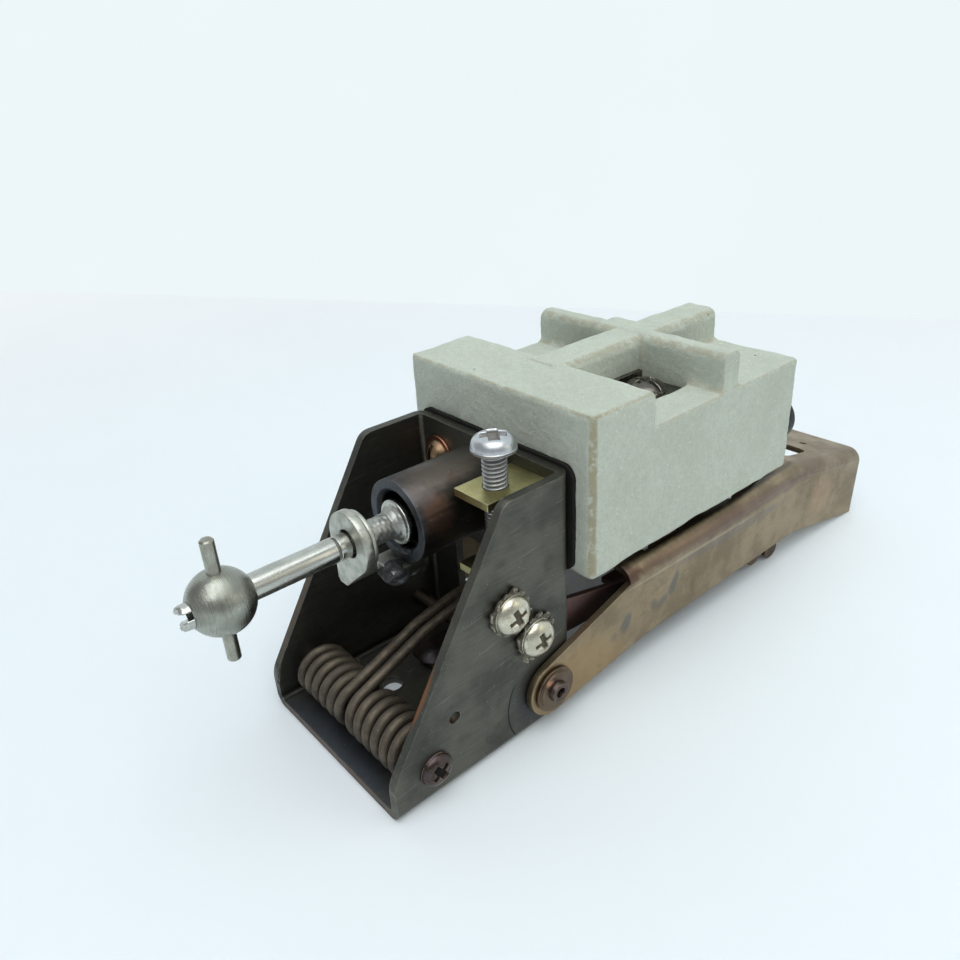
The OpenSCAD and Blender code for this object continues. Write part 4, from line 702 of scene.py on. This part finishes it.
# The cast block: its CAD mesh remeshed finely, each point pushed along its normal by uneven * (sum of
# height * sin(2 pi (point . slant) / length + phase)) - shrink. The attribute "worn" is 0 where the surface
# lies square to an axis and 1 where it leans over along an edge
def castBlock(b):
    raw = addObject("block_raw", nodes["ceramic_block"].data.copy())
    raw.modifiers.new("weld", "WELD").merge_threshold = weldReach
    remesh = raw.modifiers.new("remesh", "REMESH")
    remesh.mode, remesh.voxel_size = "VOXEL", b["voxel"] * mm
    bpy.context.view_layer.update()
    mesh = bpy.data.meshes.new_from_object(raw.evaluated_get(bpy.context.evaluated_depsgraph_get()))
    bpy.data.objects.remove(raw)
    count = len(mesh.vertices)
    points, normals = np.empty(count * 3), np.empty(count * 3)
    mesh.vertices.foreach_get("co", points)
    mesh.vertices.foreach_get("normal", normals)
    points, normals = points.reshape(-1, 3) / mm, normals.reshape(-1, 3)
    rng = np.random.default_rng(b["seed"])
    push = np.zeros(count)
    for length, height in b["waves"]:
        for _ in range(b["wavesEach"]):
            slant = rng.normal(size=3)
            slant /= np.linalg.norm(slant)
            push += height * np.sin(points @ slant * 2 * math.pi / length + rng.uniform(0, anyPhase))
    points = points + normals * (push * b["uneven"] - b["shrink"])[:, None]
    mesh.vertices.foreach_set("co", (points * mm).ravel())
    mesh.polygons.foreach_set("use_smooth", np.ones(len(mesh.polygons), bool))
    worn = easeBetween(1 - np.abs(normals).max(1), *b["wearLeans"])
    mesh.attributes.new("worn", "FLOAT", "POINT").data.foreach_set("value", worn)
    mesh.update()
    mesh.materials.clear()
    return addObject("cast_block", mesh)


castPiece = castBlock(block)
fit(castPiece, ceramic("unglazedCeramic", ceramicLook), "frame_body", "ceramic_block")
print("stage: ceramic block,", len(castPiece.data.polygons), "faces")

# Directions, and the height of the line that the rod, the ball and the tube share
ahead, nearWay, farWay, upWay = (1, 0, 0), (0, -1, 0), (0, 1, 0), (0, 0, 1)
axisZ = 43.3

# Torsion spring, repeated from the part's own sizes, with the number of points on each stretch of its path
spring = dict(coilX=-13.4, coilZ=7.6, meanRadius=4.45, wire=2.1, pitch=2.75, turns=5, legGap=3.0,
              legAngle=22.0, riseX=1.0, bendX=12.0, bendDrop=1.2, loopX=45.8, loopZ=22.35, straight=8.0,
              heel=9.0, heelGap=0.4, stepsPerTurn=48, sides=18,
              counts=dict(heel=12, leg=14, bend=30, straight=8, loop=9))


# Half the spring: a straight end, then the coil (x, y, z) + (radius cos(a), pitch * a / 360, radius
# sin(a)), a leg that leaves it straight, a bend (1 - b)^2 rise + 2 b (1 - b) middle + b^2 end, and a
# quarter of the end loop. The other half is its mirror image
def springPath(s):
    start, gap, count = 90 + s["legAngle"], s["legGap"] / 2, s["counts"]
    sweep = 360 * s["turns"] + 270 - start
    t = np.linspace(1, 0, int(sweep / 360 * s["stepsPerTurn"]))
    angle = np.radians(start + sweep * t)
    coil = np.stack([s["coilX"] + s["meanRadius"] * np.cos(angle), gap + s["pitch"] * sweep * t / 360,
                     s["coilZ"] + s["meanRadius"] * np.sin(angle)], 1)
    heel = coil[0] + np.array(ahead) * np.linspace(s["heel"], s["heelGap"], count["heel"])[:, None]
    foot = coil[-1]
    climb = (s["riseX"] - foot[0]) * math.tan(math.radians(s["legAngle"]))
    rise = np.array([s["riseX"], foot[1], foot[2] + climb])
    leg = foot + (rise - foot) * np.linspace(0, 1, count["leg"])[1:-1, None]
    middle = np.array([s["bendX"], foot[1], s["loopZ"] - s["bendDrop"]])
    end = np.array([s["loopX"] - s["straight"], foot[1], s["loopZ"]])
    b = np.linspace(0, 1, count["bend"])[:, None]
    bend = (1 - b) ** 2 * rise + 2 * b * (1 - b) * middle + b ** 2 * end
    straight = end + np.array(ahead) * np.linspace(0, s["straight"], count["straight"])[1:-1, None]
    a = np.radians(np.linspace(90, 0, count["loop"]))
    loop = np.stack([s["loopX"] + gap * np.cos(a), gap * np.sin(a), a * 0 + s["loopZ"]], 1)
    half = np.concatenate([heel, coil, leg, bend, straight, loop])
    return np.concatenate([half, half[-2::-1] * np.array([1, -1, 1])])


springWire = wireAlong(springPath(spring), spring["wire"] / 2, spring["sides"])
springPiece = joinShells("spring_wire_round", [springWire])
springPiece.data.materials.append(made["spring"])
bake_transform(springPiece)
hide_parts("torsion_spring")

barrelSpring = dict(x0=11.2, x1=19.7, wire=1.2, meanRadius=4.7, turns=3, stepsPerTurn=40, sides=14)


# A helix between two ends, half a wire inside them: (x0 + length * t, radius cos(2 pi turns t), radius
# sin(...))
def barrelPath(s):
    t = np.linspace(0, 1, s["turns"] * s["stepsPerTurn"] + 1)
    angle = t * s["turns"] * 2 * math.pi
    return np.stack([s["x0"] + s["wire"] / 2 + (s["x1"] - s["x0"] - s["wire"]) * t,
                     s["meanRadius"] * np.cos(angle), axisZ + s["meanRadius"] * np.sin(angle)], 1)


barrelWire = wireAlong(barrelPath(barrelSpring), barrelSpring["wire"] / 2, barrelSpring["sides"])
barrelPiece = joinShells("barrel_wire_round", [barrelWire])
barrelPiece.data.materials.append(made["pinSteel"])
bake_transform(barrelPiece)
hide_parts("barrel_spring")
print("stage: springs")

# Screws with a drive: the place, direction and turn of each, then their heads and shanks
terminalAt, hangerAt = dict(xs=(53.9, 71.4), y=10.8, z=55.1), dict(x=65.3, y=16.5, z=24.9)
screws = {
    "cheek_screw_heads": dict(
        node="cheek_screws", body="frame_body", slot="cheek_screw_nickel", finish="nickel",
        at=[((5.4, -22.1, 31.0), nearWay, 0.35), ((11.2, -22.1, 22.8), nearWay, 0.25)],
        head=dict(radius=3.8, height=2.5, armWidth=1.15, armReach=0.52, sunk=1.6, crown=2.2),
        shank=dict(radius=2.05, length=5.6), steps=32),
    "arbor_screw_heads": dict(
        node="arbor_screws", body="frame_body", slot="arbor_screw_dark", finish="arborBrown",
        at=[((-12.9, -21.3, 7.2), nearWay, 0.6), ((-12.9, 21.3, 7.2), farWay, 0.2)],
        head=dict(radius=3.3, height=1.9, armWidth=1.25, armReach=0.56, sunk=1.7, crown=2.6),
        shank=dict(radius=1.7, length=7.4), steps=32),
    "terminal_screw_heads": dict(
        node="terminal_screws", body="frame_body", slot="screw_nickel", finish="darkNickel",
        at=[((x, y, terminalAt["z"]), upWay, 0.5 + 0.3 * x + 0.1 * y)
            for x in terminalAt["xs"] for y in (-terminalAt["y"], terminalAt["y"])],
        head=dict(radius=4.2, height=2.2, armWidth=1.1, armReach=0.5, sunk=1.2, crown=2.3, slotWidth=0.9,
                  slotDepth=0.9),
        shank=dict(radius=1.9, length=29.6), steps=28),
    "hanger_screw_heads": dict(
        node="hanger_screws", body="lever_body", slot="hanger_screw_brass", finish="screwBronze",
        at=[((hangerAt["x"], y, hangerAt["z"]), upWay, 0.4 + 0.1 * y)
            for y in (-hangerAt["y"], hangerAt["y"])],
        head=dict(radius=2.4, height=1.7, armWidth=0.7, armReach=0.5, sunk=0.9, crown=2.3),
        shank=dict(radius=1.3, length=9.0), steps=24),
}
shankEnds = dict(into=0.05, chamfer=0.3)


# Profile of a shank: a little way into the head, then straight down to a small chamfer
def shankProfile(radius, length):
    into, chamfer = shankEnds["into"], shankEnds["chamfer"]
    return [(into, 0), (into, radius), (-length + chamfer, radius), (-length, radius - chamfer), (-length, 0)]


for name, row in screws.items():
    shells = []
    for origin, axis, spin in row["at"]:
        shells.append(screwHead(origin, axis, row["head"], spin))
        shells.append(turned(shankProfile(**row["shank"]), origin, axis, row["steps"]))
    fit(joinShells(name, shells), made[row["finish"]], row["body"], row["node"])

# Adjusting screw: a head with a cross over a real helical thread
adjuster = dict(x=12.0, y=-12.1, headZ=57.0, intoHead=0.1, tipZ=27.3, turn=0.95, radius=2.3, steps=48,
                pitch=0.82, rowsPerPitch=10, threadDepth=0.46, rootFlat=0.12, flank=0.72, lead=0.6,
                plainNeck=0.9, neckRise=0.3, tipDrop=0.35, tipLength=0.5, grimeShadePower=0.8,
                head=dict(radius=4.1, height=2.8, armWidth=1.75, armReach=0.55, sunk=2.0, crown=4.5))


# Threaded bar: its radius is radius - depth * (1 - tooth), where tooth is a triangle wave of z / pitch -
# angle / 2 pi, clipped, so the crest climbs a pitch in each turn. The tip is drawn in, the neck plain
def threadedBar(a):
    bottom, top = a["tipZ"], a["headZ"] + a["intoHead"]
    z, angle = np.arange(bottom, top, a["pitch"] / a["rowsPerPitch"]), ringAngles(a["steps"])
    phase = (z[:, None] / a["pitch"] - angle[None, :] / (2 * math.pi)) % 1.0
    tooth = np.clip((1 - np.abs(2 * phase - 1) - a["rootFlat"]) / a["flank"], 0, 1)
    neck = easeBetween(z, top - a["plainNeck"] - a["neckRise"], top - a["plainNeck"])[:, None]
    tooth = np.maximum(tooth * easeBetween(z, bottom, bottom + a["lead"])[:, None], neck)
    drawnIn = a["tipDrop"] * (1 - easeBetween(z, bottom, bottom + a["tipLength"]))[:, None]
    radius = a["radius"] - a["threadDepth"] * (1 - tooth) - drawnIn
    points = np.stack([a["x"] + radius * np.cos(angle), a["y"] + radius * np.sin(angle),
                       z[:, None] + 0 * radius], 2).reshape(-1, 3)
    points = np.concatenate([points, [[a["x"], a["y"], z[0]], [a["x"], a["y"], z[-1]]]])
    # The thread's valleys darken: grime, and painted shade between the crests
    grimeShade = np.concatenate([(1 - tooth).ravel() ** a["grimeShadePower"], [0, 0]])
    return points, cappedFaces(len(z), a["steps"]), grimeShade


headAt = (adjuster["x"], adjuster["y"], adjuster["headZ"])
adjusterHead = screwHead(headAt, upWay, adjuster["head"], adjuster["turn"])
fit(joinShells("adjusting_screw_threaded", [adjusterHead, threadedBar(adjuster)]), made["brightZinc"],
    "adjuster_body", "adjusting_screw")
print("stage: screws")

# Turned pieces on the rod's axis
rodOrigin = (0, 0, axisZ)
ball = dict(x=-35.2, radius=5.6, bore=2.22, mouthLip=0.03, rows=160, steps=96, ringDepth=0.009, ringGap=0.27,
            ringsPast=3.0, lip=0.05, lipDrop=0.2, boreLip=0.02)


# Ball: a circle's arc turned about the rod's axis, its radius plus depth * sin(2 pi along / gap) for the
# tool rings, closed through the bore
def ballProfile(b):
    mouth = math.asin(b["bore"] / b["radius"]) + b["mouthLip"]
    angle = np.linspace(mouth, math.pi - mouth, b["rows"])
    along = b["x"] - b["radius"] * np.cos(angle)
    radius = b["radius"] * np.sin(angle)
    radius += b["ringDepth"] * np.sin(2 * math.pi * along / b["ringGap"]) * (radius > b["ringsPast"])
    first, last = along[0], along[-1]
    through = [(last + b["lip"], radius[-1] - b["lipDrop"]), (last + b["boreLip"], b["bore"]),
               (first - b["boreLip"], b["bore"]), (first - b["lip"], radius[0] - b["lipDrop"])]
    return np.concatenate([np.stack([along, radius], 1), through])


ballShell = turned(ballProfile(ball), rodOrigin, ahead, ball["steps"], closed=True)
fit(joinShells("ball_ringed", [ballShell]), made["ballSteel"], "knob_body", "ball_knob")

# Adjusting rod: steps of the turned bar, its rough stretch and flare, the disc in the tube's mouth, and the
# two prongs of its slotted tip. Each range gives where something begins and where it is full
rod = dict(steps=[(-39.3, 1.2), (-39.3, 2.05), (-39.1, 2.2), (-35.2, 2.2), (-35.1, 2.3), (-14.68, 2.3),
                  (-14.58, 1.95), (-14.3, 1.95), (-14.2, 2.3), (-12.15, 2.3), (-12.0, 2.2), (-8.9, 2.2),
                  (-8.75, 2.45), (-3.6, 2.5), (-2.6, 3.0), (-1.95, 3.55), (-1.9, 4.15), (-1.75, 4.3),
                  (-1.05, 4.3), (-0.9, 4.15), (-0.85, 2.25), (14.3, 2.2), (14.6, 1.9), (14.6, 1.0)],
           gap=0.14, sides=64, roughness=0.055, roughIn=(-8.9, -8.3), roughOut=(-1.9, -2.6), seed=11,
           waves=14, waveRate=5, waveTotal=3.8, dirtIn=(-9.1, -8.2), dirtShare=0.5, grooveX=-14.44,
           grooveHalf=0.2)
tip = dict(rootX=-38.9, tipX=-41.95, radius=2.2, slot=1.15, turn=-27.0, arcPoints=26, chordPoints=12, rows=16,
           taper=0.08, tipTaper=0.22, tipFrom=0.8, tipPower=1.5, middle=0.66, ragged=0.0105, tornFrom=0.6,
           tears=((0.14, 0.55, 1), (0.08, 1.9, 2)))  # height, rate and how often the seed counts


# Puts extra points along the straight stretches of a profile, at most the gap apart: a + (b - a) * k / n
def densely(profile, gap):
    profile = np.asarray(profile, float)
    parts = [np.linspace(a, b, max(2, int(np.ceil(np.linalg.norm(b - a) / gap)) + 1))[:-1]
             for a, b in zip(profile[:-1], profile[1:])]
    return np.concatenate(parts + [profile[-1:]])


# Change of the bar's radius: roughness * (sum of sin(turns * angle + rate * along + phase)) / total, in
# whole turns round the bar, eased in and out at the ends of the rough stretch
def rodRoughness(along, angle):
    rng = np.random.default_rng(rod["seed"])
    total = np.zeros(np.broadcast(along, angle).shape)
    for _ in range(rod["waves"]):
        turns, rate = rng.integers(2, 11), rng.normal() * rod["waveRate"]
        total += np.sin(turns * angle + rate * along + rng.uniform(0, anyPhase)) / rod["waveTotal"]
    inside = easeBetween(along, *rod["roughIn"]) * easeBetween(along, *rod["roughOut"])
    return rod["roughness"] * inside * total


# One prong of the slotted tip: the outline of a disc cut off by the slot, (x, middle + (outline - middle) *
# narrow) with narrow = 1 - taper t - tipTaper ease(t)^power, torn by sine waves towards its end, then
# turned with the slot
def prong(p, side, seed):
    low = math.asin(p["slot"] / 2 / p["radius"])
    arc = np.linspace(low, math.pi - low, p["arcPoints"])
    outline = np.stack([np.cos(arc), np.sin(arc)], 1) * p["radius"]
    outline = np.concatenate([outline, np.linspace(outline[-1], outline[0], p["chordPoints"])[1:-1]])
    t = np.linspace(0, 1, p["rows"])[:, None]
    narrow = 1 - p["taper"] * t - p["tipTaper"] * easeBetween(t, p["tipFrom"], 1.0) ** p["tipPower"]
    middle = np.array([0, p["radius"] * p["middle"]])
    flat = middle + (outline[None] - middle) * narrow[..., None]
    flat = flat + np.random.default_rng(seed).normal(size=flat.shape) * p["ragged"]
    index = np.arange(len(outline))
    tear = sum(height * np.sin(index * rate + often * seed) for height, rate, often in p["tears"])[None, :]
    x = p["rootX"] + (p["tipX"] - p["rootX"]) * t + tear * easeBetween(t, p["tornFrom"], 1.0)
    a = math.radians(p["turn"])
    across, up = flat[..., 0], side * flat[..., 1]
    points = np.stack([x + 0 * across, across * math.cos(a) - up * math.sin(a),
                       axisZ + across * math.sin(a) + up * math.cos(a)], 2)
    ends = [points[0].mean(0), points[-1].mean(0)]
    return np.concatenate([points.reshape(-1, 3), ends]), cappedFaces(p["rows"], len(outline))


points, faces = turned(densely(rod["steps"], rod["gap"]), rodOrigin, ahead, rod["sides"], rodRoughness)
along = points[:, 0]
# Grime along the rough stretch, and full darkening in the groove: grime with painted shade
rodGrimeShade = easeBetween(along, *rod["dirtIn"]) * easeBetween(along, *rod["roughOut"]) * rod["dirtShare"]
rodGrimeShade = np.maximum(rodGrimeShade, (np.abs(along - rod["grooveX"]) < rod["grooveHalf"]) * 1.0)
rodShells = [(points, faces, rodGrimeShade), prong(tip, 1, 3), prong(tip, -1, 8)]
fit(joinShells("rod_turned", rodShells), made["turnedSteel"], "knob_body", "adjusting_rod")

# Braze runs under the steady bracket's foot and behind its plate, at the tube's mouth
braze = dict(rings=38, steps=56, waves=10, waveHeight=0.052, lumps=[
    dict(centre=(-3.4, -0.5, 33.6), sizes=(2.7, 3.0, 2.2), seed=5),
    dict(centre=(0.9, -0.4, 32.9), sizes=(2.5, 2.3, 1.2), seed=9),
    dict(centre=(-1.5, -1.3, 38.0), sizes=(0.9, 1.9, 0.6), seed=3)])


# Lump: a ball of radius 1 + sum of height * sin(turns * angle + phase) * sin(rate * polar) * sin(polar),
# stretched to the sizes
def lump(b, centre, sizes, seed):
    polar = np.linspace(0, math.pi, b["rings"] + 2)[1:-1, None]
    angle = ringAngles(b["steps"])[None, :]
    rng = np.random.default_rng(seed)
    radius = np.ones((b["rings"], b["steps"]))
    for _ in range(b["waves"]):
        turns, rate = rng.integers(1, 6), rng.integers(1, 6)
        wave = np.sin(turns * angle + rng.uniform(0, anyPhase)) * np.sin(rate * polar)
        radius += b["waveHeight"] * wave * np.sin(polar)
    ring = np.stack([radius * np.sin(polar) * np.cos(angle), radius * np.sin(polar) * np.sin(angle),
                     radius * np.cos(polar)], 2).reshape(-1, 3)
    points = np.concatenate([ring, [[0, 0, 1], [0, 0, -1]]]) * sizes + centre
    return points, cappedFaces(b["rings"], b["steps"])


fit(joinShells("braze_run", [lump(braze, **row) for row in braze["lumps"]]), made["braze"], "frame_body",
    "bracket_rivet")

# Lock washers with teeth round the outside, some bent up and torn. The section goes from the bore outward
# below, round the rim and back above
washer = dict(at=[((5.4, -21.3, 31.0), 2), ((11.2, -21.3, 22.8), 7)], bore=2.2, plain=3.8, reach=5.1,
              teeth=12, thickness=0.75, twist=1.0, steps=288, lengths=(0.35, 1.0), bends=(-0.1, 1.0),
              flankUp=(0.14, 0.28), flankDown=(0.86, 0.70), bentFrom=0.6, ragged=0.06, raggedWaves=23,
              wavy=0.15, waves=5,
              section=((0, 0), (0.5, 0), (0.85, 0), (0.97, 0.1), (1, 0.5), (0.97, 0.9), (0.85, 1), (0.5, 1),
                       (0.06, 1), (0, 0.85)))


# Toothed washer: radius = bore + (outer - bore) * out, where outer steps from the plain to the reach at
# each tooth, each of its own length. Past the line where the teeth bend, the height grows evenly with each
# tooth's own bend
def toothedWasher(origin, w, seed):
    angle = ringAngles(w["steps"])
    tooth = np.floor(angle * w["teeth"] / (2 * math.pi)).astype(int)
    phase = (angle * w["teeth"] / (2 * math.pi)) % 1.0
    rng = np.random.default_rng(seed)
    length = rng.uniform(*w["lengths"], w["teeth"])[tooth]
    bend = rng.uniform(*w["bends"], w["teeth"])[tooth] * w["twist"]
    shape = easeBetween(phase, *w["flankUp"]) * easeBetween(phase, *w["flankDown"])
    outer = w["plain"] + (w["reach"] - w["plain"]) * shape * length
    out, rise = np.array(w["section"]).T[..., None]
    bent = np.clip((out - w["bentFrom"]) / (1 - w["bentFrom"]), 0, 1)
    lift = shape * (bend + (phase - 0.5) * w["twist"]) * bent
    thickness = w["thickness"] * (1 + w["wavy"] * np.sin(w["waves"] * angle + seed))
    height = np.maximum(rise * thickness + np.maximum(lift, 0), 0.0)
    ragged = w["ragged"] * np.sin(w["raggedWaves"] * angle + seed) * out
    radius = w["bore"] + (outer - w["bore"]) * out + ragged
    points = np.stack([origin[0] + radius * np.cos(angle), origin[1] - height,
                       origin[2] + radius * np.sin(angle)], 2).reshape(-1, 3)
    return points, [gridFaces(len(w["section"]), w["steps"], wrapRows=True)]


fit(joinShells("lock_washers_torn", [toothedWasher(origin, washer, seed) for origin, seed in washer["at"]]),
    made["corroded"], "frame_body", "lock_washers")
print("stage: rod, ball, braze and washers")

# CAD nodes that keep their shape: the finish of each and the width of its bevels
dressed = {
    "frame": ("frameSteel", 0.16),
    "insulating_sheet": ("sheetBlackShade", 0.1),
    "terminal_plates": ("darkNickel", 0.1),
    "terminal_nuts": ("brass", 0.15),
    "knife_blades": ("oldCopperShade", 0.12),
    "front_screws": ("screwBronze", 0.06),
    "copper_washers": ("ringCopper", 0.08),
    "rear_caps": ("capBlack", 0.12),
    "barrel_tube": ("tubeSteel", 0.2),
    "steady_bracket": ("zinc", 0.25),
    "brass_bracket": ("brass", 0.12),
    "spring_arbor": ("brownSteel", 0.1),
    "stop_arm": ("armPurple", 0.12),
    "floor_strap": ("brownSteel", 0.12),
    "floor_rivets": ("rivetDark", 0.06),
    "pivot_axle": ("axleDark", 0.1),
    "pivot_washers": ("pivotBronze", 0.12),
    "lever": ("leverBronze", 0.14),
    "contact_bars": ("oldCopperShade", 0.12),
    "jaw_leaves": ("leafBronzeShade", 0.12),
    "jaw_rivets": ("oldCopperShade", 0.08),
    "hanger_blocks": ("fibre", 0.15),
    "cross_pin": ("pinSteel", 0.22),
    "rod_clip": ("zinc", 0.1),
    "spring_follower": ("turnedSteel", 0.1),
}
for name, (finish, width) in dressed.items():
    dress(name, made[finish], width)
print("stage: nodes dressed,", len(dressed))

# Floor and wall. Each takes light and shadow, and a share of what the camera and the gloss see is its own
# colour. That share goes from the first of its two numbers to the second between two distances from the
# origin
room = dict(floorColour=(0.875, 0.92, 0.95), wallColour=(0.855, 0.935, 0.96), floorSize=4000.0,
            wallHeight=2500.0, wallFrom=(33.0, 497.2), wallTo=(323.4, 25.1), wallReach=1800.0,
            floorOwn=(0.03, 0.92), wallOwn=(1.0, 1.0), ownFrom=90.0, ownTo=480.0, rough=0.6, specular=0.25,
            cloudSize=90.0, cloudShare=0.25, cloudDark=0.95)


# A flat sheet whose surface is paint * (1 - share) + its own colour * share where the camera or the gloss
# sees it, with share = own[0] + (own[1] - own[0]) * ease(distance from the origin)
def plainSheet(name, corners, colour, own):
    mesh = bpy.data.meshes.new(name)
    mesh.from_pydata((np.array(corners, float) * mm).tolist(), [], [(0, 1, 2, 3)])
    material = emptyMaterial(name + "Paint")
    tree = material.node_tree
    place = placeOf(tree)
    cloud = between(tree, noiseOf(tree, place, room["cloudSize"], 3.0), 0.3, 0.7)
    darker = tuple(c * room["cloudDark"] for c in colour)
    tone = blended(tree, times(tree, cloud, room["cloudShare"]), colour, darker)
    paint = put(tree, "ShaderNodeBsdfPrincipled", {"Base Color": tone, "Roughness": room["rough"],
                "Specular IOR Level": room["specular"]})
    glow = put(tree, "ShaderNodeEmission", {"Color": tone, "Strength": 1.0})
    path = put(tree, "ShaderNodeLightPath")
    seen = maths(tree, "MAXIMUM", path.outputs["Is Camera Ray"], path.outputs["Is Glossy Ray"])
    far = put(tree, "ShaderNodeVectorMath", {0: place}, operation="LENGTH").outputs["Value"]
    away = between(tree, far, room["ownFrom"], room["ownTo"])
    share = plus(tree, own[0], times(tree, away, own[1] - own[0]))
    both = put(tree, "ShaderNodeMixShader", {0: times(tree, seen, share), 1: paint.outputs[0],
               2: glow.outputs[0]})
    put(tree, "ShaderNodeOutputMaterial", {"Surface": both.outputs[0]})
    mesh.materials.append(material)
    addObject(name, mesh)


half, wallTop = room["floorSize"] / 2, room["wallHeight"]
plainSheet("table_top", [(-half, -half, 0), (half, -half, 0), (half, half, 0), (-half, half, 0)],
           room["floorColour"], room["floorOwn"])
wallFrom, wallTo = np.array(room["wallFrom"]), np.array(room["wallTo"])
wallRun = (wallTo - wallFrom) / np.linalg.norm(wallTo - wallFrom) * room["wallReach"]
left, right = wallFrom - wallRun, wallTo + wallRun
plainSheet("back_wall", [(*left, 0), (*right, 0), (*right, wallTop), (*left, wallTop)], room["wallColour"],
           room["wallOwn"])

# Light: a broad soft lamp above, a weaker one from the near side, and an even pale world. Places are in
# metres
lamps = {
    "overhead": dict(place=(-0.22, -0.38, 1.33), aim=(0.05, 0.0, 0.0), size=1.5, power=17.0,
                     colour=(0.955, 0.99, 1.0)),
    "nearSide": dict(place=(0.9, -1.2, 0.7), aim=(0.05, 0.0, 0.03), size=0.9, power=2.7,
                     colour=(1.0, 0.95, 0.76)),
}
for name, lamp in lamps.items():
    data = bpy.data.lights.new(name, "AREA")
    data.shape, data.size, data.energy, data.color = "SQUARE", lamp["size"], lamp["power"], lamp["colour"]
    holder = addObject(name, data)
    holder.location = lamp["place"]
    holder.rotation_euler = (Vector(lamp["aim"]) - Vector(lamp["place"])).to_track_quat("-Z", "Y").to_euler()

# The world lights the object at the first level, stands behind it at the second and shows in gloss at the
# third
worldLevels = dict(light=0.23, behind=1.0, gloss=0.42, lightColour=(0.93, 0.97, 1.0))
world = bpy.data.worlds.new("paleRoom")
bpy.context.scene.world = world
world.use_nodes = True
air = world.node_tree
air.nodes.clear()
path = put(air, "ShaderNodeLightPath").outputs
seenInGloss = maths(air, "MAXIMUM", path["Is Glossy Ray"], path["Is Transmission Ray"])
level = plus(air, worldLevels["light"], times(air, seenInGloss, worldLevels["gloss"] - worldLevels["light"]))
level = maths(air, "MAXIMUM", level, times(air, path["Is Camera Ray"], worldLevels["behind"]))
tone = blended(air, path["Is Camera Ray"], worldLevels["lightColour"], room["wallColour"])
background = put(air, "ShaderNodeBackground", {"Color": tone, "Strength": level})
put(air, "ShaderNodeOutputWorld", {"Surface": background.outputs[0]})

# Camera, from the photograph's viewing angle: degrees, millimetres, and the lens on a sensor of the given
# width
shot = dict(azimuth=-39.266, elevation=27.417, roll=-3.525, look=(18.455, 0.0, 44.157), distance=156.388,
            lens=30.417, sensor=36.0, clip=(0.005, 20.0))
azimuth, elevation, roll = (math.radians(shot[k]) for k in ("azimuth", "elevation", "roll"))
back = Vector((math.sin(azimuth) * math.cos(elevation), -math.cos(azimuth) * math.cos(elevation),
               math.sin(elevation)))
right = Vector((math.cos(azimuth), math.sin(azimuth), 0))
up = back.cross(right)
camRight = math.cos(roll) * right + math.sin(roll) * up
camUp = -math.sin(roll) * right + math.cos(roll) * up
camera = addObject("camera", bpy.data.cameras.new("camera"))
camera.data.lens, camera.data.sensor_width = shot["lens"], shot["sensor"]
camera.data.clip_start, camera.data.clip_end = shot["clip"]
turn = Matrix((camRight, camUp, back)).transposed().to_4x4()
camera.matrix_world = Matrix.Translation((Vector(shot["look"]) + back * shot["distance"]) * mm) @ turn
bpy.context.scene.camera = camera
bpy.context.scene.view_settings.view_transform = "Standard"
print("stage: room, light and camera")
